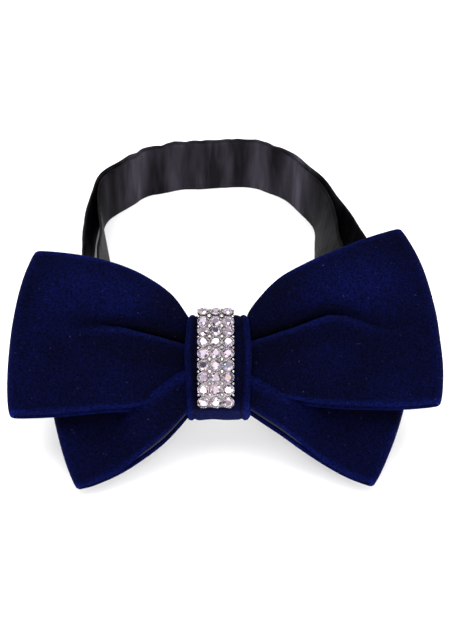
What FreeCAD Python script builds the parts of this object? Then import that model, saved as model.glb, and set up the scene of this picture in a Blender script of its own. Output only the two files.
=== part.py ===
import FreeCAD, Part
import math
import os
from FreeCAD import Vector as V3, Placement, Rotation

# Pre-tied velvet bow on an adjustable satin neckband, lying at rest: the bow
# leans back on its two lower corners, the doubled band stands on its edge
# behind it.  Millimetres, +Z up, the bow's front faces -Y.
#
# Bow frame: u to the right (= X), v up the bow's face, w out of its face.

doc = FreeCAD.newDocument("velvet_bow")
sheet = doc.addObject("Spreadsheet::Sheet", "Sizes")
SIZES = [
    ("recline_deg", 55.0), ("knot_rise", 30.1), ("shift_x", -2.15), ("shift_y", -52.57),
    ("knot_width", 18.7), ("knot_bottom", -15.6), ("knot_top", 14.9),
    ("knot_front", 8.7), ("knot_back", -12.2), ("wrap_cloth", 1.2), ("knot_round", 5.2),
    ("velvet_cloth", 0.8), ("stiffener", 0.6),
    ("strap_width", 20.0), ("strap_cloth", 1.0), ("tape_cloth", 0.8),
    ("stone_pitch", 3.5), ("cup_radius", 1.65), ("cup_height", 1.15), ("cup_wall", 0.16),
    ("rows_count", 10), ("cols_count", 3), ("strip_offset", -0.7), ("strip_start", -11.7),
    ("bar_radius", 0.8), ("ring_inner", 21.2), ("ring_outer", 24.0), ("ring_thick", 1.2),
    ("eye_u", 22.5), ("eye_length", 9.4), ("hook_u", 38.0), ("clip_w", -15.5),
    ("slot_length", 4.6), ("slot_width", 12.0), ("tongue_width", 8.0),
    ("slider_x", -38.5), ("slider_y", 38.0), ("slider_rise", 2.2),
    ("slider_length", 11.2), ("slider_outer", 24.4), ("slider_inner", 20.8),
    ("slider_depth", 5.4), ("slider_bar", 1.3),
]
for i, (name, value) in enumerate(SIZES, start=1):
    sheet.set("A%d" % i, name)
    sheet.set("B%d" % i, repr(value))
    sheet.setAlias("B%d" % i, name)
doc.recompute()
S = dict((name, float(getattr(sheet, name))) for name, _ in SIZES)

rec = math.radians(S["recline_deg"])
SN, CS = math.sin(rec), math.cos(rec)
SHIFT = V3(S["shift_x"], S["shift_y"], 0)


def P(u, v, w):
    """Bow frame to part frame."""
    return V3(u, v * SN - w * CS, S["knot_rise"] + v * CS + w * SN) + SHIFT


AX_U, AX_V, AX_W = V3(1, 0, 0), V3(0, SN, CS), V3(0, -CS, SN)
BOW = Placement(P(0, 0, 0), Rotation(AX_U, AX_V, AX_W, "XYZ"))   # local x,y,z = u,v,w


def local_frame(origin, x, y, z):
    return Placement(origin, Rotation(x, y, z, "XYZ"))


nodes = {}


def keep(name, obj):
    obj.Label = name
    nodes[name] = obj
    return obj


def feature(name, shape, placement=None):
    obj = doc.addObject("Part::Feature", name)
    obj.Shape = shape
    if placement is not None:
        obj.Placement = placement
    return keep(name, obj)


def plane_of(body, role):
    for f in body.Origin.OriginFeatures:
        if f.Role == role:
            return f
    raise RuntimeError(role)


def sketch_on(body, name, role):
    sk = body.newObject("Sketcher::SketchObject", name)
    sk.AttachmentSupport = [(plane_of(body, role), "")]
    sk.MapMode = "FlatFace"
    return sk


def rect(sk, cx, cy, width, height, wexp=None, hexp=None):
    """A rectangle about (cx, cy); its sides follow the sheet when named."""
    import Sketcher
    w2, h2 = width / 2.0, height / 2.0
    pts = [V3(cx - w2, cy - h2, 0), V3(cx + w2, cy - h2, 0), V3(cx + w2, cy + h2, 0), V3(cx - w2, cy + h2, 0)]
    g = [sk.addGeometry(Part.LineSegment(pts[k], pts[(k + 1) % 4]), False) for k in range(4)]
    for k in range(4):
        sk.addConstraint(Sketcher.Constraint("Coincident", g[k], 2, g[(k + 1) % 4], 1))
    sk.addConstraint(Sketcher.Constraint("Horizontal", g[0]))
    sk.addConstraint(Sketcher.Constraint("Horizontal", g[2]))
    sk.addConstraint(Sketcher.Constraint("Vertical", g[1]))
    sk.addConstraint(Sketcher.Constraint("Vertical", g[3]))
    a = sk.addConstraint(Sketcher.Constraint("DistanceX", g[0], 1, g[0], 2, width))
    b = sk.addConstraint(Sketcher.Constraint("DistanceY", g[1], 1, g[1], 2, height))
    c = sk.addConstraint(Sketcher.Constraint("DistanceX", -1, 1, g[0], 2, cx + w2)) if abs(cx + w2) > 1e-6 else None
    d = sk.addConstraint(Sketcher.Constraint("DistanceY", -1, 1, g[1], 2, cy + h2)) if abs(cy + h2) > 1e-6 else None
    if wexp:
        sk.setExpression("Constraints[%d]" % a, wexp)
        if c is not None and abs(cx) < 1e-9:
            sk.setExpression("Constraints[%d]" % c, "(%s) / 2" % wexp)
    if hexp:
        sk.setExpression("Constraints[%d]" % b, hexp)
        if d is not None and abs(cy) < 1e-9:
            sk.setExpression("Constraints[%d]" % d, "(%s) / 2" % hexp)
    return g


def poly(pts):
    pts = list(pts) + [pts[0]]
    return Part.makePolygon(pts)


# ---------------------------------------------------------------- the two bows
# Each bow is a ring of velvet, flattened and pinched at its middle.  A station
# is (top u, top v, bottom u, bottom v, centre w, depth), from the left end to
# the right end.
FRONT = [
    (-55.9, 32.6, -62.3, -15.2, 4.0, 4.6), (-54.6, 33.4, -61.0, -16.2, 4.0, 8.2),
    (-51.5, 33.6, -58.0, -16.4, 4.1, 10.0),
    (-41.4, 31.9, -48.0, -15.6, 4.2, 10.4), (-32.2, 29.8, -38.5, -14.8, 4.2, 10.0),
    (-23.8, 26.8, -27.0, -13.9, 4.0, 9.4), (-13.7, 20.0, -15.0, -12.4, 3.0, 8.2),
    (-11.0, 16.2, -11.2, -11.8, 2.0, 7.0), (-9.6, 12.2, -9.6, -11.4, 1.2, 6.2), (-5.0, 10.4, -5.0, -11.0, 1.2, 6.2),
    (5.0, 10.4, 5.0, -11.0, 1.2, 6.2), (9.6, 12.2, 9.6, -11.4, 1.2, 6.2), (11.0, 16.4, 11.2, -11.7, 2.0, 7.0),
    (15.5, 22.9, 16.0, -12.0, 3.0, 8.2), (27.6, 30.0, 31.0, -12.8, 4.0, 9.4),
    (36.0, 33.5, 43.0, -13.2, 4.2, 10.0), (44.2, 36.9, 53.0, -13.5, 4.2, 10.4),
    (52.6, 40.0, 62.2, -13.6, 4.1, 10.0), (55.4, 39.9, 65.4, -13.2, 4.0, 8.2),
    (56.8, 38.9, 66.6, -12.2, 4.0, 4.6),
]
REAR = [
    (-52.2, 11.6, -43.0, -35.4, -6.2, 4.6), (-51.0, 12.6, -41.6, -36.2, -6.2, 7.6),
    (-47.5, 12.9, -38.6, -35.6, -6.2, 8.6),
    (-38.0, 12.6, -32.0, -32.9, -6.2, 8.6), (-27.0, 12.0, -24.0, -28.2, -6.1, 8.2),
    (-16.5, 10.8, -16.0, -21.8, -5.8, 7.6), (-9.7, 9.8, -9.7, -13.8, -5.6, 6.8),
    (-5.0, 9.4, -5.0, -11.0, -5.6, 6.8), (5.0, 9.4, 5.0, -11.0, -5.6, 6.8),
    (9.7, 9.8, 9.7, -13.4, -5.6, 6.8), (17.5, 10.4, 17.5, -18.4, -5.8, 7.6),
    (28.0, 10.4, 26.5, -24.6, -6.1, 8.2), (40.0, 10.2, 36.0, -30.6, -6.2, 8.6),
    (55.5, 9.9, 43.0, -34.8, -6.2, 8.6), (59.2, 9.3, 46.0, -35.4, -6.2, 7.6),
    (60.6, 8.2, 47.4, -34.4, -6.2, 4.6),
]


def slab(stations, grow=0.0, reach=0.0):
    """Ruled solid through the stations, thinned by grow and taller by reach."""
    wires = []
    for tu, tv, bu, bv, wc, dep in stations:
        d = V3(tu - bu, tv - bv, 0)
        d.normalize()
        t = V3(tu, tv, 0) + d * reach
        b = V3(bu, bv, 0) - d * reach
        hw = dep / 2.0 - grow
        wires.append(poly([V3(b.x, b.y, wc - hw), V3(t.x, t.y, wc - hw), V3(t.x, t.y, wc + hw), V3(b.x, b.y, wc + hw)]))
    return Part.makeLoft(wires, True, True)


def hollow(stations, cloth, side):
    """The space inside one wing, cloth away from its faces and end."""
    if side < 0:
        st = [s for s in stations if s[0] < -5.5]
        end = st[0]
        rest = st[2:]
        inset = st[1]
        k = cloth * 1.25 + 0.9
        first = (inset[0] + k, inset[1], inset[2] + k, inset[3], inset[4], inset[5])
        st = [first] + rest
    else:
        st = [s for s in stations if s[0] > 5.5]
        inset = st[-2]
        k = cloth * 1.25 + 0.9
        last = (inset[0] - k, inset[1], inset[2] - k, inset[3], inset[4], inset[5])
        st = st[:-2] + [last]
    return slab(st, cloth, 3.0)


for bow_name, stations in (("front_bow", FRONT), ("rear_bow", REAR)):
    whole = slab(stations)
    vel = S["velvet_cloth"]
    cloth = whole
    for side in (-1, 1):
        cloth = cloth.cut(hollow(stations, vel, side))
    lining = None
    for side in (-1, 1):
        room = whole.common(hollow(stations, vel, side))
        piece = room.cut(hollow(stations, vel + S["stiffener"], side))
        lining = piece if lining is None else lining.fuse(piece)
    feature(bow_name + "_velvet", cloth, BOW)
    feature(bow_name + "_stiffener", lining, BOW)

# ------------------------------------------------------------ knot, wrap, core
KT, KB, KF, KR = S["knot_top"], S["knot_bottom"], S["knot_front"], S["knot_back"]


def knot_outline(off):
    """Closed outline of the wrap in v-w, off inside its outer face: a crowned
    front, round shoulders and a flat back."""
    t, b, f, r = KT - off, KB + off, KF - off, KR + off
    q = S["knot_round"] - off
    crown = 1.9
    fs = f - crown
    qs = 3.2 - off * 0.8
    A = V3(0, t - 0.0, fs - q)
    pts = {}
    e = []
    k = math.sqrt(0.5)
    # top shoulder
    a1, a2 = V3(0, t, fs - q), V3(0, t - q, fs)
    am = V3(0, t - q + q * k, fs - q + q * k)
    # bottom shoulder
    b2, b1 = V3(0, b + q, fs), V3(0, b, fs - q)
    bm = V3(0, b + q - q * k, fs - q + q * k)
    c1, c2 = V3(0, b, r + qs), V3(0, b + qs, r)
    cm = V3(0, b + qs - qs * k, r + qs - qs * k)
    d2, d1 = V3(0, t - qs, r), V3(0, t, r + qs)
    dm = V3(0, t - qs + qs * k, r + qs - qs * k)
    e.append(Part.Arc(a1, am, a2).toShape())
    e.append(Part.Arc(a2, V3(0, (t + b) / 2.0, f), b2).toShape())
    e.append(Part.Arc(b2, bm, b1).toShape())
    e.append(Part.LineSegment(b1, c1).toShape())
    e.append(Part.Arc(c1, cm, c2).toShape())
    e.append(Part.LineSegment(c2, d2).toShape())
    e.append(Part.Arc(d2, dm, d1).toShape())
    e.append(Part.LineSegment(d1, a1).toShape())
    return Part.Wire(Part.__sortEdges__(e))


kw = S["knot_width"]


def prism(wire, u0, u1):
    f = Part.Face(wire)
    f.translate(V3(u0, 0, 0))
    return f.extrude(V3(u1 - u0, 0, 0))


outer = prism(knot_outline(0.0), -kw / 2, kw / 2)
inner = prism(knot_outline(S["wrap_cloth"]), -kw / 2 - 1, kw / 2 + 1)
wrap = outer.cut(inner)
# the long rims of the wrap are rolled
rims = [ed for ed in wrap.Edges if abs(abs(ed.BoundBox.XMin) - kw / 2) < 1e-4 and ed.BoundBox.XLength < 1e-4]
feature("knot_wrap", wrap, BOW)

# wound thread that pinches both bows before the wrap goes on
tb, tt, tf, tr = -11.7, 11.1, 4.95, -9.65
ring_o = Part.makeBox(9.0, tt - tb, tf - tr, V3(-4.5, tb, tr))
ring_i = Part.makeBox(10.0, 10.45 + 11.05, 4.34 + 9.04, V3(-5.0, -11.05, -9.04))
thread = ring_o.cut(ring_i)
thread = thread.makeFillet(0.28, [ed for ed in thread.Edges if ed.BoundBox.XLength > 8.9 and
                                  (abs(ed.BoundBox.YMin - tb) < 1e-3 or abs(ed.BoundBox.YMin - tt) < 1e-3)])
feature("binding_thread", thread, BOW)

# soft core under the crowned front of the knot
core = prism(knot_outline(S["wrap_cloth"]), -kw / 2 + 0.6, kw / 2 - 0.6)
core = core.common(Part.makeBox(40, 27.6, 10, V3(-20, -14.0, 5.8)))
feature("knot_padding", core, BOW)

# back seam of the wrap: a row of slanted stitches on the flat back
st = []
for i in range(9):
    v = -10.4 + i * 2.55
    b = Part.makeBox(3.0, 0.5, 0.35, V3(-1.5, -0.25, -0.35))
    b.rotate(V3(0, 0, 0), V3(0, 0, 1), 24)
    b.translate(V3(0, v, KR))
    st.append(b)
feature("knot_seam_stitches", Part.makeCompound(st), BOW)

# ------------------------------------------------------- rhinestone cup strip
front_wire = knot_outline(0.0)


def outline_at(dist):
    """Point and outward normal on the knot's outline, dist up from the middle
    of the front over the top shoulder (negative: down)."""
    N = 4000
    pts = []
    e = front_wire.OrderedEdges
    poly_pts = []
    for ed in e:
        ps = ed.discretize(200)
        if poly_pts and (ps[0] - poly_pts[-1]).Length > 1e-6 and (ps[-1] - poly_pts[-1]).Length < 1e-6:
            ps = ps[::-1]
        poly_pts += ps if not poly_pts else ps[1:]
    return poly_pts


ring_pts = outline_at(0)
# start at the front centre, go towards the top
mid_i = min(range(len(ring_pts)), key=lambda i: (abs(ring_pts[i].y - 0.0) if ring_pts[i].z > 3 else 1e9))
seq_up = [ring_pts[(mid_i + k) % len(ring_pts)] for k in range(len(ring_pts))]
if seq_up[30].y < seq_up[0].y:
    seq_up = [ring_pts[(mid_i - k) % len(ring_pts)] for k in range(len(ring_pts))]
seq_dn = [seq_up[0]] + seq_up[:0:-1]


def on_outline(dist):
    seq = seq_up if dist >= 0 else seq_dn
    need = abs(dist)
    acc = 0.0
    for i in range(1, len(seq)):
        step = (seq[i] - seq[i - 1]).Length
        if step < 1e-9:
            continue
        if acc + step >= need:
            t = (need - acc) / step
            p = seq[i - 1] + (seq[i] - seq[i - 1]) * t
            d = (seq[i] - seq[i - 1])
            d.normalize()
            if dist < 0:
                d = d * -1
            n = V3(0, -d.z, d.y)          # turn the upward tangent outwards
            return p, d, n
        acc += step
    raise RuntimeError("outline")


p0, d0, n0 = on_outline(0.01)
SIGN = 1.0 if n0.z > 0 else -1.0

# one cup and one stone, modelled at the origin with their axis along Z
cup_body = doc.addObject("PartDesign::Body", "CupPattern")
csk = sketch_on(cup_body, "CupProfile", "XZ_Plane")
cr, ch, cwall = S["cup_radius"], S["cup_height"], S["cup_wall"]
prof = [(0, 0), (cr * 0.80, 0), (cr * 0.97, ch * 0.32), (cr, ch), (cr - cwall, ch), (cr - cwall - 0.05, ch * 0.40),
        (cr * 0.74, cwall), (0, cwall)]
for k in range(len(prof)):
    a, b = prof[k], prof[(k + 1) % len(prof)]
    csk.addGeometry(Part.LineSegment(V3(a[0], a[1], 0), V3(b[0], b[1], 0)), False)
rev = cup_body.newObject("PartDesign::Revolution", "CupTurned")
rev.Profile = csk
rev.ReferenceAxis = (csk, ["V_Axis"])
rev.Angle = 360.0
doc.recompute()
cup_shape = cup_body.Shape.copy()


def stone_solid():
    g = []
    for rad, z, n, ph in ((0.55, cwall, 8, 0.0), (cr - cwall - 0.13, 0.78, 8, 0.0), (cr - cwall - 0.13, 0.90, 8, 0.0), (0.86, 1.52, 8, 0.0)):
        g.append(poly([V3(rad * math.cos(2 * math.pi * i / n + ph), rad * math.sin(2 * math.pi * i / n + ph), z) for i in range(n)]))
    return Part.makeLoft(g, True, True)


stone_shape = stone_solid()
cups, stones, links = [], [], []
rows, cols, pitch = int(S["rows_count"]), int(S["cols_count"]), S["stone_pitch"]
bases = []
for r in range(rows):
    p, d, n = on_outline(S["strip_start"] + r * pitch)
    n = n * SIGN
    frames = []
    for c in range(cols):
        u = S["strip_offset"] + (c - (cols - 1) / 2.0) * pitch
        org = V3(u, p.y, p.z) + n * 0.42
        pl = Placement(org, Rotation(V3(1, 0, 0), n.cross(V3(1, 0, 0)), n, "XYZ"))
        for shp, lst in ((cup_shape, cups), (stone_shape, stones)):
            q = shp.copy()
            q.Placement = pl.multiply(q.Placement)
            lst.append(q)
        frames.append(pl)
    bases.append((p, d, n, frames))
feature("stone_cups", Part.makeCompound(cups), BOW)
feature("stones", Part.makeCompound(stones), BOW)

# the cups sit on a thin metal net, one cross bar per row and three long bars
net = None
bars = []
for p, d, n, frames in bases:
    b = Part.makeBox(2 * pitch + 2.3, 0.9, 0.34, V3(-(2 * pitch + 2.3) / 2, -0.45, 0.04))
    b.Placement = Placement(V3(S["strip_offset"], p.y, p.z), Rotation(V3(1, 0, 0), n.cross(V3(1, 0, 0)), n, "XYZ"))
    bars.append(b)
for i in range(len(bases) - 1):
    p, d, n, _ = bases[i]
    p2, d2, n2, _ = bases[i + 1]
    for c in range(cols):
        u = S["strip_offset"] + (c - (cols - 1) / 2.0) * pitch
        m = (n + n2)
        m.normalize()
        q1, q2 = p + n * 0.18 + d * 0.46, p2 + n2 * 0.18 - d2 * 0.46
        q1.x = q2.x = u
        w4 = 0.3
        o = [V3(-w4, 0, 0), V3(w4, 0, 0)]
        wires = [poly([q1 + o[0], q1 + o[1], q1 + o[1] + n * 0.2, q1 + o[0] + n * 0.2]),
                 poly([q2 + o[0], q2 + o[1], q2 + o[1] + n2 * 0.2, q2 + o[0] + n2 * 0.2])]
        bars.append(Part.makeLoft(wires, True, True))
feature("cup_net", Part.makeCompound(bars), BOW)

# thread bars that tie the two ends of the strip to the knot
ties = []
for dist, us in ((S["strip_start"] - 2.15, (-3.5, 0.0, 3.5)), (S["strip_start"] + (rows - 1) * pitch + 2.15, (-3.5, 0.0, 3.5))):
    p, d, n = on_outline(dist)
    n = n * SIGN
    for u in us:
        b = Part.makeBox(0.5, 1.5, 0.4, V3(-0.25, -0.75, 0.03))
        b.Placement = Placement(V3(S["strip_offset"] + u, p.y, p.z), Rotation(V3(1, 0, 0), n.cross(V3(1, 0, 0)), n, "XYZ"))
        ties.append(b)
feature("strip_end_stitches", Part.makeCompound(ties), BOW)

# ------------------------------------------------------------------- ribbons
SWD = S["strap_width"]


def ribbon(stations, cloth, width=SWD, flip=1.0):
    """Ruled strap through (centre, width direction) stations, in part frame."""
    cen = [V3(*s[0]) for s in stations]
    wid = [V3(*s[1]) for s in stations]
    wires = []
    n = len(cen)
    for i in range(n):
        if i == 0:
            t = cen[1] - cen[0]
        elif i == n - 1:
            t = cen[-1] - cen[-2]
        else:
            a, b = cen[i] - cen[i - 1], cen[i + 1] - cen[i]
            t = a * (1.0 / a.Length) + b * (1.0 / b.Length)
        if len(stations[i]) > 2:
            t = V3(*stations[i][2])
        t.normalize()
        a = wid[i] - t * wid[i].dot(t)
        a.normalize()
        nn = t.cross(a)
        nn.normalize()
        c = cen[i]
        h, k = width / 2.0, cloth / 2.0
        wires.append(poly([c - a * h - nn * k, c + a * h - nn * k, c + a * h + nn * k, c - a * h + nn * k]))
    return Part.makeLoft(wires, True, True)


def bp(u, w):
    q = P(u, 0, w)
    return (q.x, q.y, q.z)


def fp(x, y, z):
    return (x + SHIFT.x, y + SHIFT.y, z)


aV = (0, SN, CS)
SC = S["strap_cloth"]
CW = S["clip_w"]
EU, HU = S["eye_u"], S["hook_u"]
BR = S["bar_radius"]

# short tape across the knot's back: inside the wrap, out at both sides, its
# right end folded round the bar of the eye
HINGE_U, HINGE_W = -14.0, -12.35
tape_st = [
    (bp(HINGE_U, HINGE_W), aV), (bp(-12.0, -11.5), aV), (bp(-9.8, -10.5), aV), (bp(-6.5, -10.46), aV),
    (bp(6.5, -10.46), aV), (bp(9.8, -10.5), aV), (bp(12.7, -11.85), aV), (bp(16.0, -13.35), aV),
    (bp(18.3, -13.98), aV), (bp(19.4, -13.90), aV), (bp(20.8, -13.46), aV),
]
feature("knot_tape", ribbon(tape_st, SC))


def fold(bar_u, bar_w, side, inner_r, cloth, tail, spread):
    """Tape folded round a bar along v: side +1 leaves towards +u."""
    outer_r = inner_r + cloth
    ang = 24
    pts_o, pts_i = [], []
    seg = 10
    for k in range(seg + 1):
        a = math.radians(90 + 180.0 * k / seg)
        pts_o.append(V3(bar_u + side * outer_r * math.cos(a), 0, bar_w + outer_r * math.sin(a)))
        pts_i.append(V3(bar_u + side * inner_r * math.cos(a), 0, bar_w + inner_r * math.sin(a)))
    e1 = V3(bar_u + side * tail, 0, bar_w + cloth + spread)
    e2 = V3(bar_u + side * tail, 0, bar_w + spread)
    e3 = V3(bar_u + side * tail, 0, bar_w - spread)
    e4 = V3(bar_u + side * tail, 0, bar_w - cloth - spread)
    outline = [e2, e1] + pts_o + [e4, e3] + pts_i[::-1]
    outline = [V3(p.x, -SWD / 2, p.z) for p in outline]
    return Part.Face(poly(outline)).extrude(V3(0, SWD, 0))


# eye end of the tape: both plies round the bar, sewn together behind it
TC = S["tape_cloth"]
feature("eye_tab", fold(EU, CW, -1, BR + 0.35, TC, 3.45, 0.06), BOW)
seam = []
for k in range(9):
    b = Part.makeBox(0.4, 1.4, 0.25, V3(EU - 2.5, -9.2 + k * 2.15, -13.05))
    seam.append(b)
feature("eye_tab_stitches", Part.makeCompound(seam), BOW)

# ---------------------------------------------------------------- eye (metal)
RI, RO, RT = S["ring_inner"], S["ring_outer"], S["ring_thick"]


def plate_body(name, rects, pockets, thick_exp, placement, fillet=None):
    body = doc.addObject("PartDesign::Body", name)
    sk = sketch_on(body, name + "_outline", "XY_Plane")
    for r in rects:
        rect(sk, *r)
    pad = body.newObject("PartDesign::Pad", name + "_pad")
    pad.Profile = sk
    pad.setExpression("Length", thick_exp)
    pad.Midplane = True
    doc.recompute()
    vol = body.Shape.Volume
    for k, pr in enumerate(pockets):
        ps = sketch_on(body, "%s_window%d" % (name, k), "XY_Plane")
        rect(ps, *pr)
        pk = body.newObject("PartDesign::Pocket", "%s_cut%d" % (name, k))
        pk.Profile = ps
        pk.Type = 1
        pk.Midplane = True
        doc.recompute()
        if not body.Shape.Volume < vol - 0.5:
            raise RuntimeError(name + " window cuts nothing")
        vol = body.Shape.Volume
    body.Placement = placement
    return body


# eye: a flat ring whose round rear bar lies in the tab, one slot for the tongue
eye_len = S["eye_length"]
eye_c = 0.9 + eye_len / 2.0 - 0.9
eye_body = doc.addObject("PartDesign::Body", "eye_ring")
sk = sketch_on(eye_body, "eye_outline", "XY_Plane")
rect(sk, eye_len / 2.0 - 0.2, 0, eye_len, RO, "Sizes.eye_length", "Sizes.ring_outer")
pad = eye_body.newObject("PartDesign::Pad", "eye_pad")
pad.Profile = sk
pad.setExpression("Length", "Sizes.ring_thick")
pad.Midplane = True
doc.recompute()
v0 = eye_body.Shape.Volume
w1 = sketch_on(eye_body, "tab_window", "XY_Plane")
rect(w1, 1.15, 0, 3.1, RI, None, "Sizes.ring_inner")
c1 = eye_body.newObject("PartDesign::Pocket", "tab_cut")
c1.Profile = w1
c1.Type = 1
c1.Midplane = True
doc.recompute()
v1 = eye_body.Shape.Volume
w2 = sketch_on(eye_body, "slot_window", "XY_Plane")
rect(w2, 5.9, 0, S["slot_length"], S["slot_width"], "Sizes.slot_length", "Sizes.slot_width")
c2 = eye_body.newObject("PartDesign::Pocket", "slot_cut")
c2.Profile = w2
c2.Type = 1
c2.Midplane = True
doc.recompute()
v2 = eye_body.Shape.Volume
if not (v0 > v1 > v2):
    raise RuntimeError("eye windows")
bsk = sketch_on(eye_body, "bar_round", "XZ_Plane")
import Sketcher
bsk.addGeometry(Part.Circle(V3(0, 0, 0), V3(0, 0, 1), BR), False)
bsk.addConstraint(Sketcher.Constraint("Coincident", 0, 3, -1, 1))
kk = bsk.addConstraint(Sketcher.Constraint("Radius", 0, BR))
bsk.setExpression("Constraints[%d]" % kk, "Sizes.bar_radius")
bar = eye_body.newObject("PartDesign::Pad", "eye_bar")
bar.Profile = bsk
bar.setExpression("Length", "Sizes.ring_outer - 0.4")
bar.Midplane = True
doc.recompute()
eye_body.Placement = BOW.multiply(Placement(V3(EU, 0, CW), Rotation()))
keep("eye_ring", eye_body)

# --------------------------------------------------------------- hook (metal)
# Local frame of the hook: its strap bar along local Y at the origin, the
# tongue towards -X, the eye lies 1.7 outside (+Z) of the hook's plate.
HOOK_W = CW - 1.75
hook_body = doc.addObject("PartDesign::Body", "hook")
sk = sketch_on(hook_body, "hook_outline", "XY_Plane")
rect(sk, -2.45, 0, 5.5, RO, None, "Sizes.ring_outer")
pad = hook_body.newObject("PartDesign::Pad", "hook_pad")
pad.Profile = sk
pad.setExpression("Length", "Sizes.ring_thick")
pad.Midplane = True
doc.recompute()
v0 = hook_body.Shape.Volume
w1 = sketch_on(hook_body, "strap_window", "XY_Plane")
rect(w1, -1.2, 0, 3.4, RI, None, "Sizes.ring_inner")
c1 = hook_body.newObject("PartDesign::Pocket", "strap_cut")
c1.Profile = w1
c1.Type = 1
c1.Midplane = True
doc.recompute()
if not hook_body.Shape.Volume < v0 - 1:
    raise RuntimeError("hook window")
bsk = sketch_on(hook_body, "hook_bar_round", "XZ_Plane")
bsk.addGeometry(Part.Circle(V3(0, 0, 0), V3(0, 0, 1), BR), False)
bsk.addConstraint(Sketcher.Constraint("Coincident", 0, 3, -1, 1))
kk = bsk.addConstraint(Sketcher.Constraint("Radius", 0, BR))
bsk.setExpression("Constraints[%d]" % kk, "Sizes.bar_radius")
bar = hook_body.newObject("PartDesign::Pad", "hook_bar")
bar.Profile = bsk
bar.setExpression("Length", "Sizes.ring_outer - 0.4")
bar.Midplane = True
doc.recompute()
# tongue: flat blade, then a finger raked outwards through the eye's slot
tsk = sketch_on(hook_body, "tongue_side", "XZ_Plane")
blade = [(-4.6, -0.5), (-4.6, 0.5), (-9.2, 0.5), (-9.75, 3.4), (-8.9, 3.75), (-8.7, 4.15), (-9.8, 4.15), (-10.75, 3.4), (-10.25, -0.5)]
tt_ = [V3(a, b, 0) for a, b in blade]
for k in range(len(tt_)):
    tsk.addGeometry(Part.LineSegment(tt_[k], tt_[(k + 1) % len(tt_)]), False)
tpad = hook_body.newObject("PartDesign::Pad", "tongue")
tpad.Profile = tsk
tpad.setExpression("Length", "Sizes.tongue_width")
tpad.Midplane = True
doc.recompute()
hook_body.Placement = BOW.multiply(Placement(V3(HU, 0, HOOK_W), Rotation()))
keep("hook", hook_body)

# -------------------------------------------------------------- the long band
# One strap: out of the knot's left side, through the slider, round the neck,
# round the bar of the hook and back on the outside to the slider's bar.
SX, SY, SZ = S["slider_x"], S["slider_y"], S["slider_rise"] + SWD / 2.0
up = (0, 0, 1)
band_in = [
    (bp(HINGE_U - 0.45, HINGE_W - 0.19), aV),
    (bp(-18.5, -14.0), aV),
    (bp(-23.5, -15.4), (0.10, 0.80, 0.60)),
    (fp(-28.6, 11.2, 15.4), (0.30, 0.68, 0.68)),
    (fp(-33.2, 14.6, 14.0), (0.30, 0.40, 0.86)),
    (fp(-36.6, 19.2, 12.8), (0.14, 0.12, 0.98)),
    (fp(SX, 25.4, SZ), up, (0, 1, 0)),
    (fp(SX, 53.6, SZ), up, (0, 1, 0)),
    (fp(-38.2, 62.0, 11.6), (-0.04, 0, 1)),
    (fp(-37.4, 72.0, 10.6), (-0.13, 0, 0.99)),
    (fp(-37.2, 84.0, 10.1), (-0.17, 0, 0.985)),
    (fp(-38.7, 95.0, 10.05), (-0.10, 0, 0.995)),
    (fp(-39.6, 104.5, 10.0), (-0.02, 0, 1)),
    (fp(-37.6, 113.0, 10.0), up),
    (fp(-32.2, 119.6, 10.0), up),
    (fp(-23.9, 127.6, 10.0), up),
    (fp(-13.3, 131.0, 10.0), up),
    (fp(-1.6, 132.2, 10.0), up),
    (fp(6.0, 132.9, 10.0), up),
    (fp(15.2, 131.2, 10.0), up),
    (fp(23.3, 124.9, 10.0), up),
    (fp(28.8, 117.3, 10.0), up),
    (fp(33.4, 108.4, 10.05), (0.08, 0, 0.99)),
    (fp(35.6, 98.0, 10.2), (0.24, 0.0, 0.97)),
    (fp(36.1, 87.0, 10.4), (0.34, 0.0, 0.94)),
    (fp(37.4, 74.0, 10.7), (0.34, 0.0, 0.94)),
    (fp(40.2, 58.0, 11.2), (0.22, 0.0, 0.97)),
    (fp(43.4, 42.0, 11.6), (0.04, 0.0, 1.0)),
    (fp(45.9, 29.0, 12.4), (-0.16, 0.12, 0.98)),
    (fp(46.9, 20.5, 13.6), (-0.34, 0.34, 0.88), (-0.7, -14.6, 2.6)),
]
band_out = [
    (fp(49.6, 20.0, 13.6), (-0.34, 0.34, 0.88), (4.0, 15.8, -3.1)),
    (fp(51.2, 29.0, 12.3), (-0.14, 0.12, 0.98)),
    (fp(51.6, 42.0, 11.4), (0.05, 0.0, 1.0)),
    (fp(50.2, 58.0, 10.8), (0.18, 0.0, 0.98)),
    (fp(46.6, 74.0, 10.4), (0.26, 0.0, 0.965)),
    (fp(42.8, 87.0, 10.3), (0.26, 0.0, 0.965)),
    (fp(39.2, 98.6, 10.15), (0.18, 0.0, 0.98)),
    (fp(35.6, 109.4, 10.05), (0.06, 0.0, 1.0)),
    (fp(30.6, 118.6, 10.0), up),
    (fp(24.7, 126.6, 10.0), up),
    (fp(16.0, 133.2, 10.0), up),
    (fp(6.1, 134.9, 10.0), up),
    (fp(-1.7, 134.2, 10.0), up),
    (fp(-13.7, 132.95, 10.0), up),
    (fp(-24.7, 129.4, 10.0), up),
    (fp(-33.5, 121.2, 10.0), up),
    (fp(-39.4, 114.0, 10.0), up),
    (fp(-41.7, 104.6, 10.0), (-0.03, 0, 1)),
    (fp(-42.3, 94.0, 10.1), (-0.08, 0, 1)),
    (fp(-43.2, 82.0, 10.3), (-0.08, 0, 0.997)),
    (fp(-43.6, 70.0, 10.9), up),
    (fp(-43.2, 60.0, 11.8), up),
    (fp(SX - 4.65, 51.0, SZ), up, (0, -1, 0)),
]
inner_strap = ribbon(band_in, SC)
outer_strap = ribbon(band_out, SC)
feature("band_inner_strap", inner_strap)
feature("band_outer_strap", outer_strap)


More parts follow.
